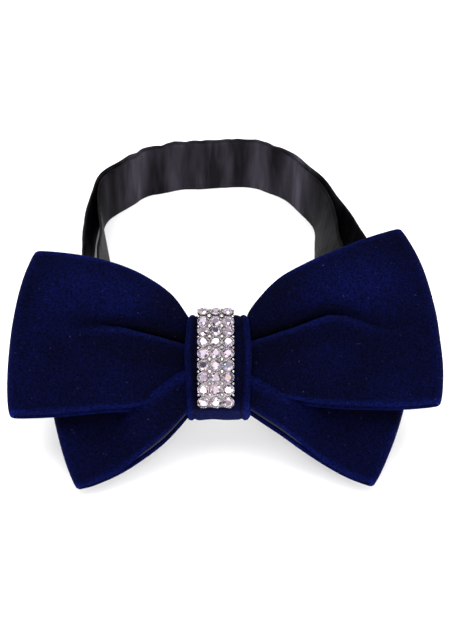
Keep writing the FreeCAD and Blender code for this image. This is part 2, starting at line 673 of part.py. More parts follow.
def loose_loop():
    """The turn of the strap round the hook's bar, joining both layers."""
    w0 = HOOK_W
    r_in = BR + 0.35
    seg = 8
    mids = []
    # inner layer end -> round the bar -> outer layer end, in part frame
    a_in, a_out = band_in[-1], band_out[0]
    pts = [(V3(*a_in[0]), V3(*a_in[1]))]
    pts.append((V3(*fp(45.2, 14.4, 15.0)), V3(-0.42, 0.58, 0.70)))
    q = P(HU + 3.2, 0, w0 - r_in - SC / 2.0 - 0.05)
    pts.append((q, V3(*aV), V3(-1, 0, 0)))
    for k in range(seg + 1):
        a = math.radians(-90 - 180.0 * k / seg)
        q = P(HU + (r_in + SC / 2) * math.cos(a), 0, w0 + (r_in + SC / 2) * math.sin(a))
        pts.append((q, V3(*aV)))
    q = P(HU + 3.2, 0, w0 + r_in + SC / 2.0 + 0.05)
    pts.append((q, V3(*aV), V3(1, 0, 0)))
    pts.append((V3(*fp(46.6, 11.6, 15.7)), V3(-0.36, 0.66, 0.66)))
    pts.append((V3(*a_out[0]), V3(*a_out[1])))
    return pts


lp = loose_loop()
st = [tuple(tuple(q) for q in item) for item in lp]
st[0] = band_in[-1]
st[-1] = band_out[0]
feature("band_hook_fold", ribbon(st, SC))

# --------------------------------------------------------------- slider frame
# Three-bar slide seen along -X: end bars inside the strap, centre bar outside
# it.  Local frame: X along the strap (+Y), Y up, Z outwards (-X).
SLP = local_frame(V3(*fp(SX, SY, SZ)), V3(0, 1, 0), V3(0, 0, 1), V3(1, 0, 0))
SLP = Placement(V3(*fp(SX, SY, SZ)), Rotation(V3(0, -1, 0), V3(0, 0, 1), V3(-1, 0, 0), "XYZ"))
sl = doc.addObject("PartDesign::Body", "slider")
sk = sketch_on(sl, "slider_outline", "XY_Plane")
rect(sk, 0, 0, S["slider_length"], S["slider_outer"], "Sizes.slider_length", "Sizes.slider_outer")
pad = sl.newObject("PartDesign::Pad", "slider_pad")
pad.Profile = sk
pad.setExpression("Length", "Sizes.slider_depth")
pad.Midplane = False
doc.recompute()
v0 = sl.Shape.Volume
ps = sketch_on(sl, "slider_window", "XY_Plane")
rect(ps, 0, 0, S["slider_length"] - 2 * S["slider_bar"], S["slider_inner"], "Sizes.slider_length - 2 * Sizes.slider_bar", "Sizes.slider_inner")
pk = sl.newObject("PartDesign::Pocket", "slider_through")
pk.Profile = ps
pk.Type = 1
pk.Midplane = True
doc.recompute()
v1 = sl.Shape.Volume
if not v1 < v0 - 1:
    raise RuntimeError("slider window")
# the end bars stay low, so the strap passes over them
hs = sketch_on(sl, "slider_saddle", "YZ_Plane")
rect(hs, 0, 1.0 + 10.0, S["slider_inner"], 20.0, "Sizes.slider_inner", None)
hk = sl.newObject("PartDesign::Pocket", "slider_saddle_cut")
hk.Profile = hs
hk.Type = 1
hk.Midplane = True
doc.recompute()
v2 = sl.Shape.Volume
if not v2 < v1 - 1:
    raise RuntimeError("slider saddle")
# centre bar, outside the strap
cs = sketch_on(sl, "slider_centre_bar", "XZ_Plane")
cs.addGeometry(Part.Circle(V3(0, 0, 0), V3(0, 0, 1), 0.7), False)
cs.addConstraint(Sketcher.Constraint("Radius", 0, 0.7))
cs.addConstraint(Sketcher.Constraint("DistanceX", -1, 1, 0, 3, 0.0))
cs.addConstraint(Sketcher.Constraint("DistanceY", -1, 1, 0, 3, 4.55))
cb = sl.newObject("PartDesign::Pad", "slider_bar")
cb.Profile = cs
cb.setExpression("Length", "Sizes.slider_outer - 1.0")
cb.Midplane = True
doc.recompute()
sl.Placement = SLP.multiply(Placement(V3(0, 0, -1.0 - SC / 2 - 0.3), Rotation()))
keep("slider", sl)
BAR_N = 4.55 - 1.0 - SC / 2 - 0.3      # centre bar's distance outside the strap's middle

# strap's far end: folded round the centre bar and sewn to itself
ri = 0.7 + 0.05
ro = ri + TC
segs = 8
po, pi_ = [], []
for k in range(segs + 1):
    a = math.radians(90 + 180.0 * k / segs)
    po.append((-ro * math.cos(a), ro * math.sin(a)))
    pi_.append((-ri * math.cos(a), ri * math.sin(a)))
# local: s along the strap away from the knot, n outwards
po = [(-s_, n_) for s_, n_ in po]
pi_ = [(-s_, n_) for s_, n_ in pi_]
TAIL = 21.0
outline = [(3.6, 0.02), (3.6, 0.02 + TC)]
outline = [(4.2, 0.0), (TAIL, 0.0), (TAIL, TC), (4.2, TC)] + po + [(4.2, -TC), (TAIL, -TC), (TAIL, 0.0)]


def sn(s_, n_):
    return V3(SX - (BAR_N + n_), SY + s_, 0) + SHIFT


up_o = [(TAIL, TC), (4.0, TC)] + [(s_, n_) for s_, n_ in po] + [(4.0, -TC), (TAIL, -TC)]
hole = [(3.0, 0.0)] + [(s_, n_) for s_, n_ in pi_]
z0 = S["slider_rise"]
face_o = Part.Face(poly([sn(a, b) for a, b in up_o]))
face_i = Part.Face(poly([sn(a, b) for a, b in hole]))
stub = face_o.cut(face_i).extrude(V3(0, 0, SWD - 0.4))
stub.translate(V3(0, 0, z0 + 0.2))
feature("band_end_loop", stub)
sts = []
for k in range(8):
    b = Part.makeBox(0.25, 0.4, 1.4, V3(0, 0, 0))
    q = sn(5.2, TC)
    b.translate(V3(q.x - 0.25, q.y, z0 + 1.4 + k * 2.3))
    sts.append(b)
for k in range(8):
    b = Part.makeBox(0.25, 0.4, 1.4, V3(0, 0, 0))
    q = sn(9.0, TC)
    b.translate(V3(q.x - 0.25, q.y, z0 + 1.4 + k * 2.3))
    sts.append(b)
feature("band_end_stitches", Part.makeCompound(sts))

doc.recompute()
bad = [o.Name for o in doc.Objects if any(s in ("Invalid", "Error") for s in o.State)]
if bad:
    raise RuntimeError("failed objects: %s" % bad)
for name, obj in nodes.items():
    shp = obj.Shape
    if shp.isNull() or not shp.isValid():
        raise RuntimeError("bad shape: " + name)
box = None
os.makedirs("parts", exist_ok=True)
for name, obj in sorted(nodes.items()):
    obj.Shape.exportStep("parts/%s.step" % name)
    bb = obj.Shape.BoundBox
    print("%-22s solids %2d vol %9.1f  x %7.2f..%7.2f y %7.2f..%7.2f z %7.2f..%7.2f" % (
        name, len(obj.Shape.Solids), obj.Shape.Volume, bb.XMin, bb.XMax, bb.YMin, bb.YMax, bb.ZMin, bb.ZMax))
    box = bb if box is None else box.united(bb)
print("box", [round(t, 2) for t in (box.XMin, box.XMax, box.YMin, box.YMax, box.ZMin, box.ZMax)])
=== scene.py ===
import math
import random

import bmesh
import bpy
import numpy as np
from mathutils import Matrix, Vector


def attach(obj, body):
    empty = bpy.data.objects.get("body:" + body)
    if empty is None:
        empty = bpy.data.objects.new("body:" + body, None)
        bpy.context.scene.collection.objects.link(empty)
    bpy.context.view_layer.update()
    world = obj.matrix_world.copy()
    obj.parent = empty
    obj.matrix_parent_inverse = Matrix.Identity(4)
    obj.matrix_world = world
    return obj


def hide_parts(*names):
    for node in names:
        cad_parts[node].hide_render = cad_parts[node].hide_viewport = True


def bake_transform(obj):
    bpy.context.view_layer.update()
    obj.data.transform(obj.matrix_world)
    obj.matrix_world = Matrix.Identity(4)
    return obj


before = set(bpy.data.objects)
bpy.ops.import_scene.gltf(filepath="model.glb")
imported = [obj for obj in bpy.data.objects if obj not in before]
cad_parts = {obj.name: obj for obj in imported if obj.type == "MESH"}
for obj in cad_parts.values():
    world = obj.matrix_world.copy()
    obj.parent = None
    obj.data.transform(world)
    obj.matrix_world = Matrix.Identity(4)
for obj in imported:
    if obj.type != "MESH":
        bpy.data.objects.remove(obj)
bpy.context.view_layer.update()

# ------------------------------------------------------------------ the frames
REC = math.radians(55.0)
SN, CS = math.sin(REC), math.cos(REC)
SX, SY, KZ = -2.15, -52.57, 30.1


def bow(p):
    """Bow frame in mm (u right, v up the face, w out of it) to metres."""
    p = np.asarray(p, float)
    u, v, w = p[..., 0], p[..., 1], p[..., 2]
    return np.stack([u + SX, v * SN - w * CS + SY, KZ + v * CS + w * SN], -1) / 1000.0


def flat(p):
    """Millimetres measured from the knot's foot to metres."""
    p = np.asarray(p, float)
    return (p + np.array([SX, SY, 0.0])) / 1000.0


def unit(a):
    n = np.linalg.norm(a, axis=-1, keepdims=True)
    return a / np.maximum(n, 1e-12)


def smooth(e0, e1, x):
    t = np.clip((x - e0) / (e1 - e0), 0.0, 1.0)
    return t * t * (3 - 2 * t)


def spline(points, t):
    """Catmull-Rom through points, t from 0 to 1 by chord length."""
    pts = np.asarray(points, float)
    d = np.concatenate([[0], np.cumsum(np.linalg.norm(np.diff(pts, axis=0), axis=1))])
    t = np.asarray(t, float) * d[-1]
    k = np.clip(np.searchsorted(d, t, side="right") - 1, 0, len(pts) - 2)
    m = np.empty_like(pts)
    m[1:-1] = (pts[2:] - pts[:-2]) / (d[2:] - d[:-2])[:, None]
    m[0] = (pts[1] - pts[0]) / (d[1] - d[0])
    m[-1] = (pts[-1] - pts[-2]) / (d[-1] - d[-2])
    h = (d[k + 1] - d[k])[..., None]
    s = ((t - d[k])[..., None]) / h
    h00, h10 = 2 * s**3 - 3 * s**2 + 1, s**3 - 2 * s**2 + s
    h01, h11 = -2 * s**3 + 3 * s**2, s**3 - s**2
    return h00 * pts[k] + h10 * h * m[k] + h01 * pts[k + 1] + h11 * h * m[k + 1]


def along(xs, ys, x):
    return np.interp(x, xs, ys)


# --------------------------------------------------------------------- meshes
def mesh_object(name, verts, faces, smooth_faces=True):
    me = bpy.data.meshes.new(name)
    me.from_pydata([tuple(map(float, v)) for v in verts], [], faces)
    me.validate()
    ob = bpy.data.objects.new(name, me)
    bpy.context.scene.collection.objects.link(ob)
    bm = bmesh.new()
    bm.from_mesh(me)
    bmesh.ops.recalc_face_normals(bm, faces=bm.faces)
    bm.to_mesh(me)
    bm.free()
    for f in me.polygons:
        f.use_smooth = smooth_faces
    return ob


def thick_grid(name, mid, thick, bulge=0.42, closed=False, flip=False, painted_sheen_shade=None):
    """A sheet of cloth: mid is an (a, b, 3) grid in metres, thick in metres or
    an (a, b) array.  Both faces, rolled long edges, closed ends."""
    mid = np.asarray(mid, float)
    na, nb = mid.shape[:2]
    if closed:
        da = np.roll(mid, -1, 0) - np.roll(mid, 1, 0)
    else:
        da = np.gradient(mid, axis=0)
    db = np.gradient(mid, axis=1)
    nn = unit(np.cross(da, db))
    if flip:
        nn = -nn
    th = np.broadcast_to(np.asarray(thick, float), (na, nb))[..., None]
    out, inn = mid + nn * th / 2, mid - nn * th / 2
    eb0, eb1 = -unit(db[:, 0]), unit(db[:, -1])
    r0 = mid[:, 0] + eb0 * th[:, 0] * bulge
    r1 = mid[:, -1] + eb1 * th[:, -1] * bulge
    q = 0.30
    o0 = out[:, 0] + eb0 * th[:, 0] * bulge * 0.78 - nn[:, 0] * th[:, 0] * (0.5 - q)
    i0 = inn[:, 0] + eb0 * th[:, 0] * bulge * 0.78 + nn[:, 0] * th[:, 0] * (0.5 - q)
    o1 = out[:, -1] + eb1 * th[:, -1] * bulge * 0.78 - nn[:, -1] * th[:, -1] * (0.5 - q)
    i1 = inn[:, -1] + eb1 * th[:, -1] * bulge * 0.78 + nn[:, -1] * th[:, -1] * (0.5 - q)
    rings = np.concatenate([out, o1[:, None], r1[:, None], i1[:, None], inn[:, ::-1], i0[:, None], r0[:, None], o0[:, None]], axis=1)
    m = rings.shape[1]
    # painted_sheen_shade carries painted light per point: painted sheen and painted shade. The rolled long edges get
    # half the edge value as painted sheen, plus 0.25 on long closed rings.
    tone = None
    if painted_sheen_shade is not None:
        rim = np.maximum(painted_sheen_shade[:, [0, -1]], 0.0) * 0.5 + (0.25 if len(painted_sheen_shade) > 60 and closed else 0.0)
        tone = np.concatenate([painted_sheen_shade, rim[:, 1:], rim[:, 1:], rim[:, 1:], painted_sheen_shade[:, ::-1], rim[:, :1], rim[:, :1], rim[:, :1]], axis=1)
    verts = rings.reshape(-1, 3)
    faces = []
    rows = na if closed else na - 1
    for a in range(rows):
        a2 = (a + 1) % na
        for k in range(m):
            k2 = (k + 1) % m
            faces.append((a * m + k, a2 * m + k, a2 * m + k2, a * m + k2))
    if not closed:
        for a, rev in ((0, False), (na - 1, True)):
            base = a * m
            top = list(range(nb))
            bot = list(range(2 * nb + 2, nb + 2, -1))
            for b in range(nb - 1):
                f = (base + top[b], base + top[b + 1], base + bot[b + 1], base + bot[b])
                faces.append(f[::-1] if rev else f)
            f1 = (base + nb - 1, base + nb, base + nb + 1, base + nb + 2, base + nb + 3)
            f0 = (base + 2 * nb + 2, base + 2 * nb + 3, base + 2 * nb + 4, base + 2 * nb + 5, base + 0)
            faces.append(f1[::-1] if rev else f1)
            faces.append(f0[::-1] if rev else f0)
    ob = mesh_object(name, verts, faces)
    if tone is not None:
        layer = ob.data.attributes.new("painted_sheen_shade", "FLOAT", "POINT")
        layer.data.foreach_set("value", np.clip(tone, -1.0, 1.5).reshape(-1).astype(np.float32))
    return ob


# ------------------------------------------------------------------ materials
def mat(name):
    m = bpy.data.materials.new(name)
    m.use_nodes = True
    nt = m.node_tree
    bsdf = nt.nodes["Principled BSDF"]
    return m, nt, bsdf


def link(nt, a, ao, b, bi):
    nt.links.new(a.outputs[ao], b.inputs[bi])


def noise(nt, scale, detail=3.0, rough=0.5, coord=None, stretch=None):
    n = nt.nodes.new("ShaderNodeTexNoise")
    n.inputs["Scale"].default_value = scale
    n.inputs["Detail"].default_value = detail
    n.inputs["Roughness"].default_value = rough
    if coord is not None:
        if stretch is not None:
            mp = nt.nodes.new("ShaderNodeMapping")
            mp.inputs["Scale"].default_value = stretch
            link(nt, coord, "Object", mp, "Vector")
            link(nt, mp, "Vector", n, "Vector")
        else:
            link(nt, coord, "Object", n, "Vector")
    return n


def ramp(nt, stops):
    r = nt.nodes.new("ShaderNodeValToRGB")
    el = r.color_ramp.elements
    while len(el) < len(stops):
        el.new(0.5)
    for e, (p, c) in zip(el, stops):
        e.position = p
        e.color = (c[0], c[1], c[2], 1.0)
    return r


def velvet_material():
    m, nt, b = mat("blue_velvet")
    co = nt.nodes.new("ShaderNodeTexCoord")
    big = noise(nt, 42.0, 4.0, 0.55, co)
    fine = noise(nt, 1500.0, 3.0, 0.75, co)
    lint = noise(nt, 900.0, 3.0, 0.7, co)
    # The painted_sheen_shade attribute, mixed with random tone, picks the velvet colour: painted sheen lightens it,
    # painted shade darkens it.
    lay = nt.nodes.new("ShaderNodeAttribute")
    lay.attribute_name = "painted_sheen_shade"
    scl = nt.nodes.new("ShaderNodeMath")
    scl.operation = "MULTIPLY_ADD"
    scl.inputs[1].default_value = 0.30
    scl.inputs[2].default_value = 0.36
    link(nt, lay, "Fac", scl, 0)
    mixn = nt.nodes.new("ShaderNodeMath")
    mixn.operation = "MULTIPLY_ADD"
    mixn.inputs[1].default_value = 0.30
    link(nt, big, "Fac", mixn, 0)
    link(nt, scl, "Value", mixn, 2)
    off = nt.nodes.new("ShaderNodeMath")
    off.operation = "SUBTRACT"
    off.inputs[1].default_value = 0.175
    link(nt, mixn, "Value", off, 0)
    r1 = ramp(nt, [(0.0, (0.00015, 0.00020, 0.0015)), (0.30, (0.0003, 0.0005, 0.0075)), (0.48, (0.0006, 0.0014, 0.021)), (0.70, (0.0012, 0.0042, 0.066)), (1.0, (0.0035, 0.011, 0.16))])
    link(nt, off, "Value", r1, "Fac")
    r2 = ramp(nt, [(0.36, (0.22, 0.22, 0.28)), (0.66, (2.05, 2.05, 1.85))])
    link(nt, fine, "Fac", r2, "Fac")
    mul = nt.nodes.new("ShaderNodeMixRGB")
    mul.blend_type = "MULTIPLY"
    mul.inputs["Fac"].default_value = 1.0
    link(nt, r1, "Color", mul, "Color1")
    link(nt, r2, "Color", mul, "Color2")
    r3 = ramp(nt, [(0.685, (0, 0, 0)), (0.75, (0.030, 0.018, 0.050))])
    link(nt, lint, "Fac", r3, "Fac")
    add = nt.nodes.new("ShaderNodeMixRGB")
    add.blend_type = "ADD"
    add.inputs["Fac"].default_value = 1.0
    link(nt, mul, "Color", add, "Color1")
    link(nt, r3, "Color", add, "Color2")
    link(nt, add, "Color", b, "Base Color")
    b.inputs["Roughness"].default_value = 0.95
    b.inputs["Specular IOR Level"].default_value = 0.03
    b.inputs["Sheen Weight"].default_value = 0.17
    b.inputs["Sheen Roughness"].default_value = 0.22
    b.inputs["Sheen Tint"].default_value = (0.020, 0.060, 0.62, 1.0)
    bump = nt.nodes.new("ShaderNodeBump")
    bump.inputs["Strength"].default_value = 0.45
    bump.inputs["Distance"].default_value = 0.0005
    link(nt, fine, "Fac", bump, "Height")
    bump2 = nt.nodes.new("ShaderNodeBump")
    bump2.inputs["Strength"].default_value = 0.35
    bump2.inputs["Distance"].default_value = 0.0016
    soft = noise(nt, 75.0, 3.0, 0.55, co)
    link(nt, soft, "Fac", bump2, "Height")
    link(nt, bump, "Normal", bump2, "Normal")
    link(nt, bump2, "Normal", b, "Normal")
    return m


def satin_material(name, dark=(0.0032, 0.0028, 0.0036), light=(0.034, 0.031, 0.042)):
    m, nt, b = mat(name)
    co = nt.nodes.new("ShaderNodeTexCoord")
    wv = nt.nodes.new("ShaderNodeTexWave")
    wv.wave_type = "BANDS"
    wv.bands_direction = "Z"
    wv.inputs["Scale"].default_value = 900.0
    wv.inputs["Distortion"].default_value = 0.6
    link(nt, co, "Object", wv, "Vector")
    n1 = noise(nt, 110.0, 4.0, 0.6, co, (1.0, 1.0, 0.16))
    r = ramp(nt, [(0.36, dark), (0.55, tuple((a_ + b_) / 2.6 for a_, b_ in zip(dark, light))), (0.72, light)])
    link(nt, n1, "Fac", r, "Fac")
    # painted_sheen_shade scales the colour: painted sheen at the back of the band, while the sides and the pieces
    # without the attribute stay at the darker 0.28.
    lay = nt.nodes.new("ShaderNodeAttribute")
    lay.attribute_name = "painted_sheen_shade"
    gain = nt.nodes.new("ShaderNodeMath")
    gain.operation = "MULTIPLY_ADD"
    gain.inputs[1].default_value = 2.5
    gain.inputs[2].default_value = 0.28
    link(nt, lay, "Fac", gain, 0)
    sc = nt.nodes.new("ShaderNodeVectorMath")
    sc.operation = "SCALE"
    link(nt, r, "Color", sc, 0)
    link(nt, gain, "Value", sc, "Scale")
    link(nt, sc, "Vector", b, "Base Color")
    n2 = noise(nt, 90.0, 3.0, 0.5, co)
    rr = ramp(nt, [(0.3, (0.36, 0.36, 0.36)), (0.7, (0.50, 0.50, 0.50))])
    link(nt, n2, "Fac", rr, "Fac")
    link(nt, rr, "Color", b, "Roughness")
    b.inputs["Specular IOR Level"].default_value = 0.015
    b.inputs["Anisotropic"].default_value = 0.35
    b.inputs["Sheen Weight"].default_value = 0.0
    b.inputs["Sheen Roughness"].default_value = 0.4
    b.inputs["Sheen Tint"].default_value = (0.5, 0.45, 0.5, 1.0)
    bump = nt.nodes.new("ShaderNodeBump")
    bump.inputs["Strength"].default_value = 0.25
    bump.inputs["Distance"].default_value = 0.00025
    link(nt, wv, "Fac", bump, "Height")
    b2 = nt.nodes.new("ShaderNodeBump")
    b2.inputs["Strength"].default_value = 0.7
    b2.inputs["Distance"].default_value = 0.0016
    n3 = noise(nt, 95.0, 3.0, 0.5, co, (1.0, 1.0, 0.35))
    link(nt, n3, "Fac", b2, "Height")
    link(nt, bump, "Normal", b2, "Normal")
    link(nt, b2, "Normal", b, "Normal")
    return m


def metal_material(name, c0, c1, rough0, rough1, metallic=1.0, scale=400.0):
    m, nt, b = mat(name)
    co = nt.nodes.new("ShaderNodeTexCoord")
    n = noise(nt, scale, 4.0, 0.6, co)
    r = ramp(nt, [(0.3, c0), (0.7, c1)])
    link(nt, n, "Fac", r, "Fac")
    link(nt, r, "Color", b, "Base Color")
    n2 = noise(nt, scale * 2.2, 3.0, 0.6, co)
    rr = ramp(nt, [(0.3, (rough0,) * 3), (0.7, (rough1,) * 3)])
    link(nt, n2, "Fac", rr, "Fac")
    link(nt, rr, "Color", b, "Roughness")
    b.inputs["Metallic"].default_value = metallic
    bump = nt.nodes.new("ShaderNodeBump")
    bump.inputs["Strength"].default_value = 0.08
    bump.inputs["Distance"].default_value = 0.0001
    link(nt, n2, "Fac", bump, "Height")
    link(nt, bump, "Normal", b, "Normal")
    return m


def cloth_material(name, c0, c1, scale=1800.0):
    m, nt, b = mat(name)
    co = nt.nodes.new("ShaderNodeTexCoord")
    n = noise(nt, scale, 3.0, 0.6, co)
    r = ramp(nt, [(0.3, c0), (0.7, c1)])
    link(nt, n, "Fac", r, "Fac")
    link(nt, r, "Color", b, "Base Color")
    b.inputs["Roughness"].default_value = 0.9
    bump = nt.nodes.new("ShaderNodeBump")
    bump.inputs["Strength"].default_value = 0.4
    bump.inputs["Distance"].default_value = 0.0003
    link(nt, n, "Fac", bump, "Height")
    link(nt, bump, "Normal", b, "Normal")
    return m


def stone_material():
    m, nt, b = mat("cut_stone")
    # the facet colour attribute holds a painted glint or painted reflection for each facet
    at = nt.nodes.new("ShaderNodeVertexColor")
    at.layer_name = "facet"
    co = nt.nodes.new("ShaderNodeTexCoord")
    n = noise(nt, 1500.0, 2.0, 0.5, co)
    r = ramp(nt, [(0.35, (0.86, 0.86, 0.90)), (0.65, (1.06, 1.03, 1.06))])
    link(nt, n, "Fac", r, "Fac")
    mul = nt.nodes.new("ShaderNodeMixRGB")
    mul.blend_type = "MULTIPLY"
    mul.inputs["Fac"].default_value = 1.0
    link(nt, at, "Color", mul, "Color1")
    link(nt, r, "Color", mul, "Color2")
    link(nt, mul, "Color", b, "Base Color")
    b.inputs["Metallic"].default_value = 0.75
    b.inputs["Roughness"].default_value = 0.12
    b.inputs["Coat Weight"].default_value = 0.25
    b.inputs["Coat Roughness"].default_value = 0.03
    return m


VELVET = velvet_material()
SATIN = satin_material("black_satin")
BLACK_METAL = metal_material("black_coated_metal", (0.010, 0.010, 0.011), (0.022, 0.022, 0.024), 0.22, 0.38, 0.6)
SILVER = metal_material("silver_cup_metal", (0.24, 0.225, 0.23), (0.50, 0.47, 0.48), 0.16, 0.32, 1.0, 900.0)
DULL_SILVER = metal_material("strip_backing_metal", (0.075, 0.070, 0.074), (0.22, 0.20, 0.21), 0.30, 0.50, 1.0, 1400.0)
THREAD = cloth_material("black_thread", (0.006, 0.006, 0.008), (0.022, 0.022, 0.028), 3500.0)
BLUE_THREAD = cloth_material("blue_thread", (0.006, 0.008, 0.06), (0.014, 0.018, 0.12), 3500.0)
LINING = cloth_material("dark_stiffener", (0.004, 0.004, 0.016), (0.010, 0.010, 0.034), 1500.0)
WADDING = cloth_material("wadding", (0.42, 0.42, 0.44), (0.70, 0.70, 0.72), 900.0)
STONE = stone_material()


def paint(ob, m):
    ob.data.materials.clear()
    ob.data.materials.append(m)
    return ob


# ------------------------------------------------------------- the velvet bows
def wing(name, side, top, bottom, outer, inner, wc, he, hf, hb, turn, pleats, lobe, seed):
    """One wing: a flattened ring of velvet from the knot, round its outer end
    and back.  Returns the grid of its middle surface in the bow frame."""
    na, nt_, nb = 82, 11, 78
    rho = np.linspace(0, 1, na) ** 0.92 * (1 - turn)
    phi = np.linspace(0, math.pi / 2, nt_)[1:]
    front_r = np.concatenate([rho, (1 - turn) + turn * np.sin(phi) ** 0.9])
    front_k = np.concatenate([np.ones(na), np.clip(np.cos(phi), 0, 1) ** 0.6])
    b = 0.5 - 0.5 * np.cos(np.linspace(0.06, 1 - 0.06, nb) * math.pi)
    b = (b - b[0]) / (b[-1] - b[0])
    A = len(front_r)
    R, Bb = np.meshgrid(front_r, b, indexing="ij")
    T = spline(top, front_r)
    Bo = spline(bottom, front_r)
    E = spline(outer, b)
    K = spline(inner, b)
    P = ((1 - Bb)[..., None] * Bo[:, None] + Bb[..., None] * T[:, None]
         + (1 - R)[..., None] * K[None] + R[..., None] * E[None]
         - ((1 - R) * (1 - Bb))[..., None] * K[0] - ((1 - R) * Bb)[..., None] * K[-1]
         - (R * (1 - Bb))[..., None] * E[0] - (R * Bb)[..., None] * E[-1])
    cen = P.mean(axis=(0, 1))
    edge = np.abs(2 * Bb - 1)
    pull = (R ** 20) * (edge ** 14)
    P = P + (cen - P) * (pull * 0.016)[..., None]
    u, v = P[..., 0], P[..., 1]
    crown = 1 - edge ** 2.6
    near = smooth(0.0, 0.30, R)
    rng = np.random.default_rng(seed)
    grids, painted_sheen_shade_rows = [], []
    for face, hh in ((1, hf), (-1, hb)):
        h = he + (hh - he) * crown
        h = h * (0.62 + 0.38 * near)
        c = np.interp(np.abs(u), wc[0], wc[1])
        w = h * front_k[:, None]
        # painted sheen along the top and bottom edges and round the outer end, painted shade towards the knot, and a
        # painted sheen band across the upper part of the face
        painted_sheen_shade = 0.60 * smooth(0.93, 1.0, edge) + 0.50 * smooth(0.955, 1.0, R) - 0.25 * smooth(0.45, 0.0, R)
        painted_sheen_shade = painted_sheen_shade + 0.28 * np.exp(-((2 * Bb - 1 - 0.52) / 0.30) ** 2) * smooth(0.15, 0.5, R) * (1 - smooth(0.8, 0.98, R))
        if face > 0:
            for line_u, line_v, amp, reach, sharp, bulge in pleats:
                vp = np.interp(np.abs(u), line_u, line_v)
                d = v - vp
                A_ = amp * (1 - smooth(reach[0], reach[1], np.abs(u)))
                w = w - A_ * np.exp(-((d - 0.9) / sharp) ** 2) * front_k[:, None] ** 0.5
                w = w - A_ * 0.55 * np.exp(-((d - 3.2) / (sharp * 2.8)) ** 2)
                w = w + A_ * bulge * np.exp(-((d + 1.3) / (sharp * 1.7)) ** 2)
                # painted highlight on the crest below each pleat, painted shade in its fold and further below
                painted_sheen_shade = painted_sheen_shade + 0.24 * A_ * np.exp(-((d + 0.9) / 0.85) ** 2) - 0.22 * A_ * np.exp(-((d - 2.0) / 2.3) ** 2)
                painted_sheen_shade = painted_sheen_shade - 0.10 * A_ * np.exp(-((d + 5.0) / 3.5) ** 2)
            if lobe is not None:
                lu, lv, amp, fade = lobe
                vr = np.interp(np.abs(u), lu, lv)
                d = vr - v
                S_ = amp * (1 - smooth(fade[0], fade[1], np.abs(u)))
                w = w + S_ * smooth(-1.7, 1.5, d) * (0.50 + 0.50 * np.exp(-np.clip(d, 0, None) / 7.0))
                # painted highlight along the lobe's ridge and painted shade in the gap under its edge
                painted_sheen_shade = painted_sheen_shade + 0.055 * S_ * np.exp(-((d - 1.6) / 2.0) ** 2) - 0.5 * np.exp(-((d + 2.8) / 2.2) ** 2)
        else:
            w = w + 0.0
        # slow unevenness of real cloth
        a1, a2, a3 = rng.uniform(0, 6.28, 3)
        w = w + 0.22 * near * np.sin(u * 0.16 + a1 + v * 0.07) * np.cos(v * 0.15 + a2) * front_k[:, None]
        grids.append(np.stack([u, v, c + face * w, painted_sheen_shade + 0.0 * u], -1))
    back = grids[1][::-1][1:]
    return np.concatenate([grids[0], back], 0)


def outer_curve(points):
    return np.asarray(points, float)


KNOT_HALF = 8.6
FL = dict(
    top=[(-KNOT_HALF, 12.6), (-9.8, 14.6), (-13.6, 19.6), (-18.8, 23.6), (-25.0, 27.1), (-32.8, 29.9), (-42.0, 32.0), (-54.6, 33.6)],
    bottom=[(-KNOT_HALF, -6.6), (-12.5, -8.4), (-18.0, -11.4), (-25.0, -13.8), (-33.5, -14.4), (-41.4, -15.2), (-48.5, -15.8), (-61.2, -16.4)],
    outer=[(-61.2, -16.4), (-61.6, -8.0), (-61.3, 1.5), (-60.2, 12.5), (-58.0, 23.5), (-54.6, 33.6)],
    inner=[(-KNOT_HALF, -6.6), (-KNOT_HALF, 3.0), (-KNOT_HALF, 12.6)],
)
FR = dict(
    top=[(KNOT_HALF, 12.6), (9.6, 15.2), (12.2, 18.6), (16.0, 22.6), (20.3, 26.0), (28.2, 30.1), (36.8, 33.8), (44.4, 36.9), (55.0, 40.4)],
    bottom=[(KNOT_HALF, -6.0), (12.4, -7.6), (18.0, -10.2), (26.2, -12.4), (33.0, -13.2), (40.0, -13.6), (53.0, -13.8), (65.4, -13.2)],
    outer=[(65.4, -13.2), (65.9, -3.0), (65.2, 6.0), (64.0, 15.2), (60.5, 28.6), (55.0, 40.4)],
    inner=[(KNOT_HALF, -6.0), (KNOT_HALF, 3.0), (KNOT_HALF, 12.6)],
)
RL = dict(
    top=[(-KNOT_HALF, 8.8), (-17.0, 10.6), (-28.0, 11.8), (-38.0, 12.4), (-50.2, 12.6)],
    bottom=[(-KNOT_HALF, -13.2), (-12.1, -17.2), (-16.2, -21.4), (-21.2, -25.4), (-28.7, -30.4), (-36.3, -34.0), (-41.8, -35.8)],
    outer=[(-41.8, -35.8), (-44.8, -28.0), (-47.4, -19.0), (-49.4, -9.0), (-50.4, 2.0), (-50.2, 12.6)],
    inner=[(-KNOT_HALF, -13.2), (-KNOT_HALF, -2.0), (-KNOT_HALF, 8.8)],
)
RR = dict(
    top=[(KNOT_HALF, 8.8), (17.5, 10.2), (28.0, 10.4), (40.0, 10.2), (58.6, 9.4)],
    bottom=[(KNOT_HALF, -12.4), (13.4, -15.6), (18.6, -19.0), (24.9, -23.6), (31.7, -28.2), (37.9, -31.8), (45.8, -35.2)],
    outer=[(45.8, -35.2), (49.2, -28.0), (52.6, -19.5), (55.4, -10.0), (57.4, 0.0), (58.6, 9.4)],
    inner=[(KNOT_HALF, -12.4), (KNOT_HALF, -2.0), (KNOT_HALF, 8.8)],
)
WC_F = ([8.0, 12.0, 18.0, 30.0, 66.0], [1.4, 2.4, 3.4, 4.2, 4.2])
WC_R = ([8.0, 12.0, 18.0, 30.0, 66.0], [-5.4, -5.7, -6.0, -6.2, -6.2])
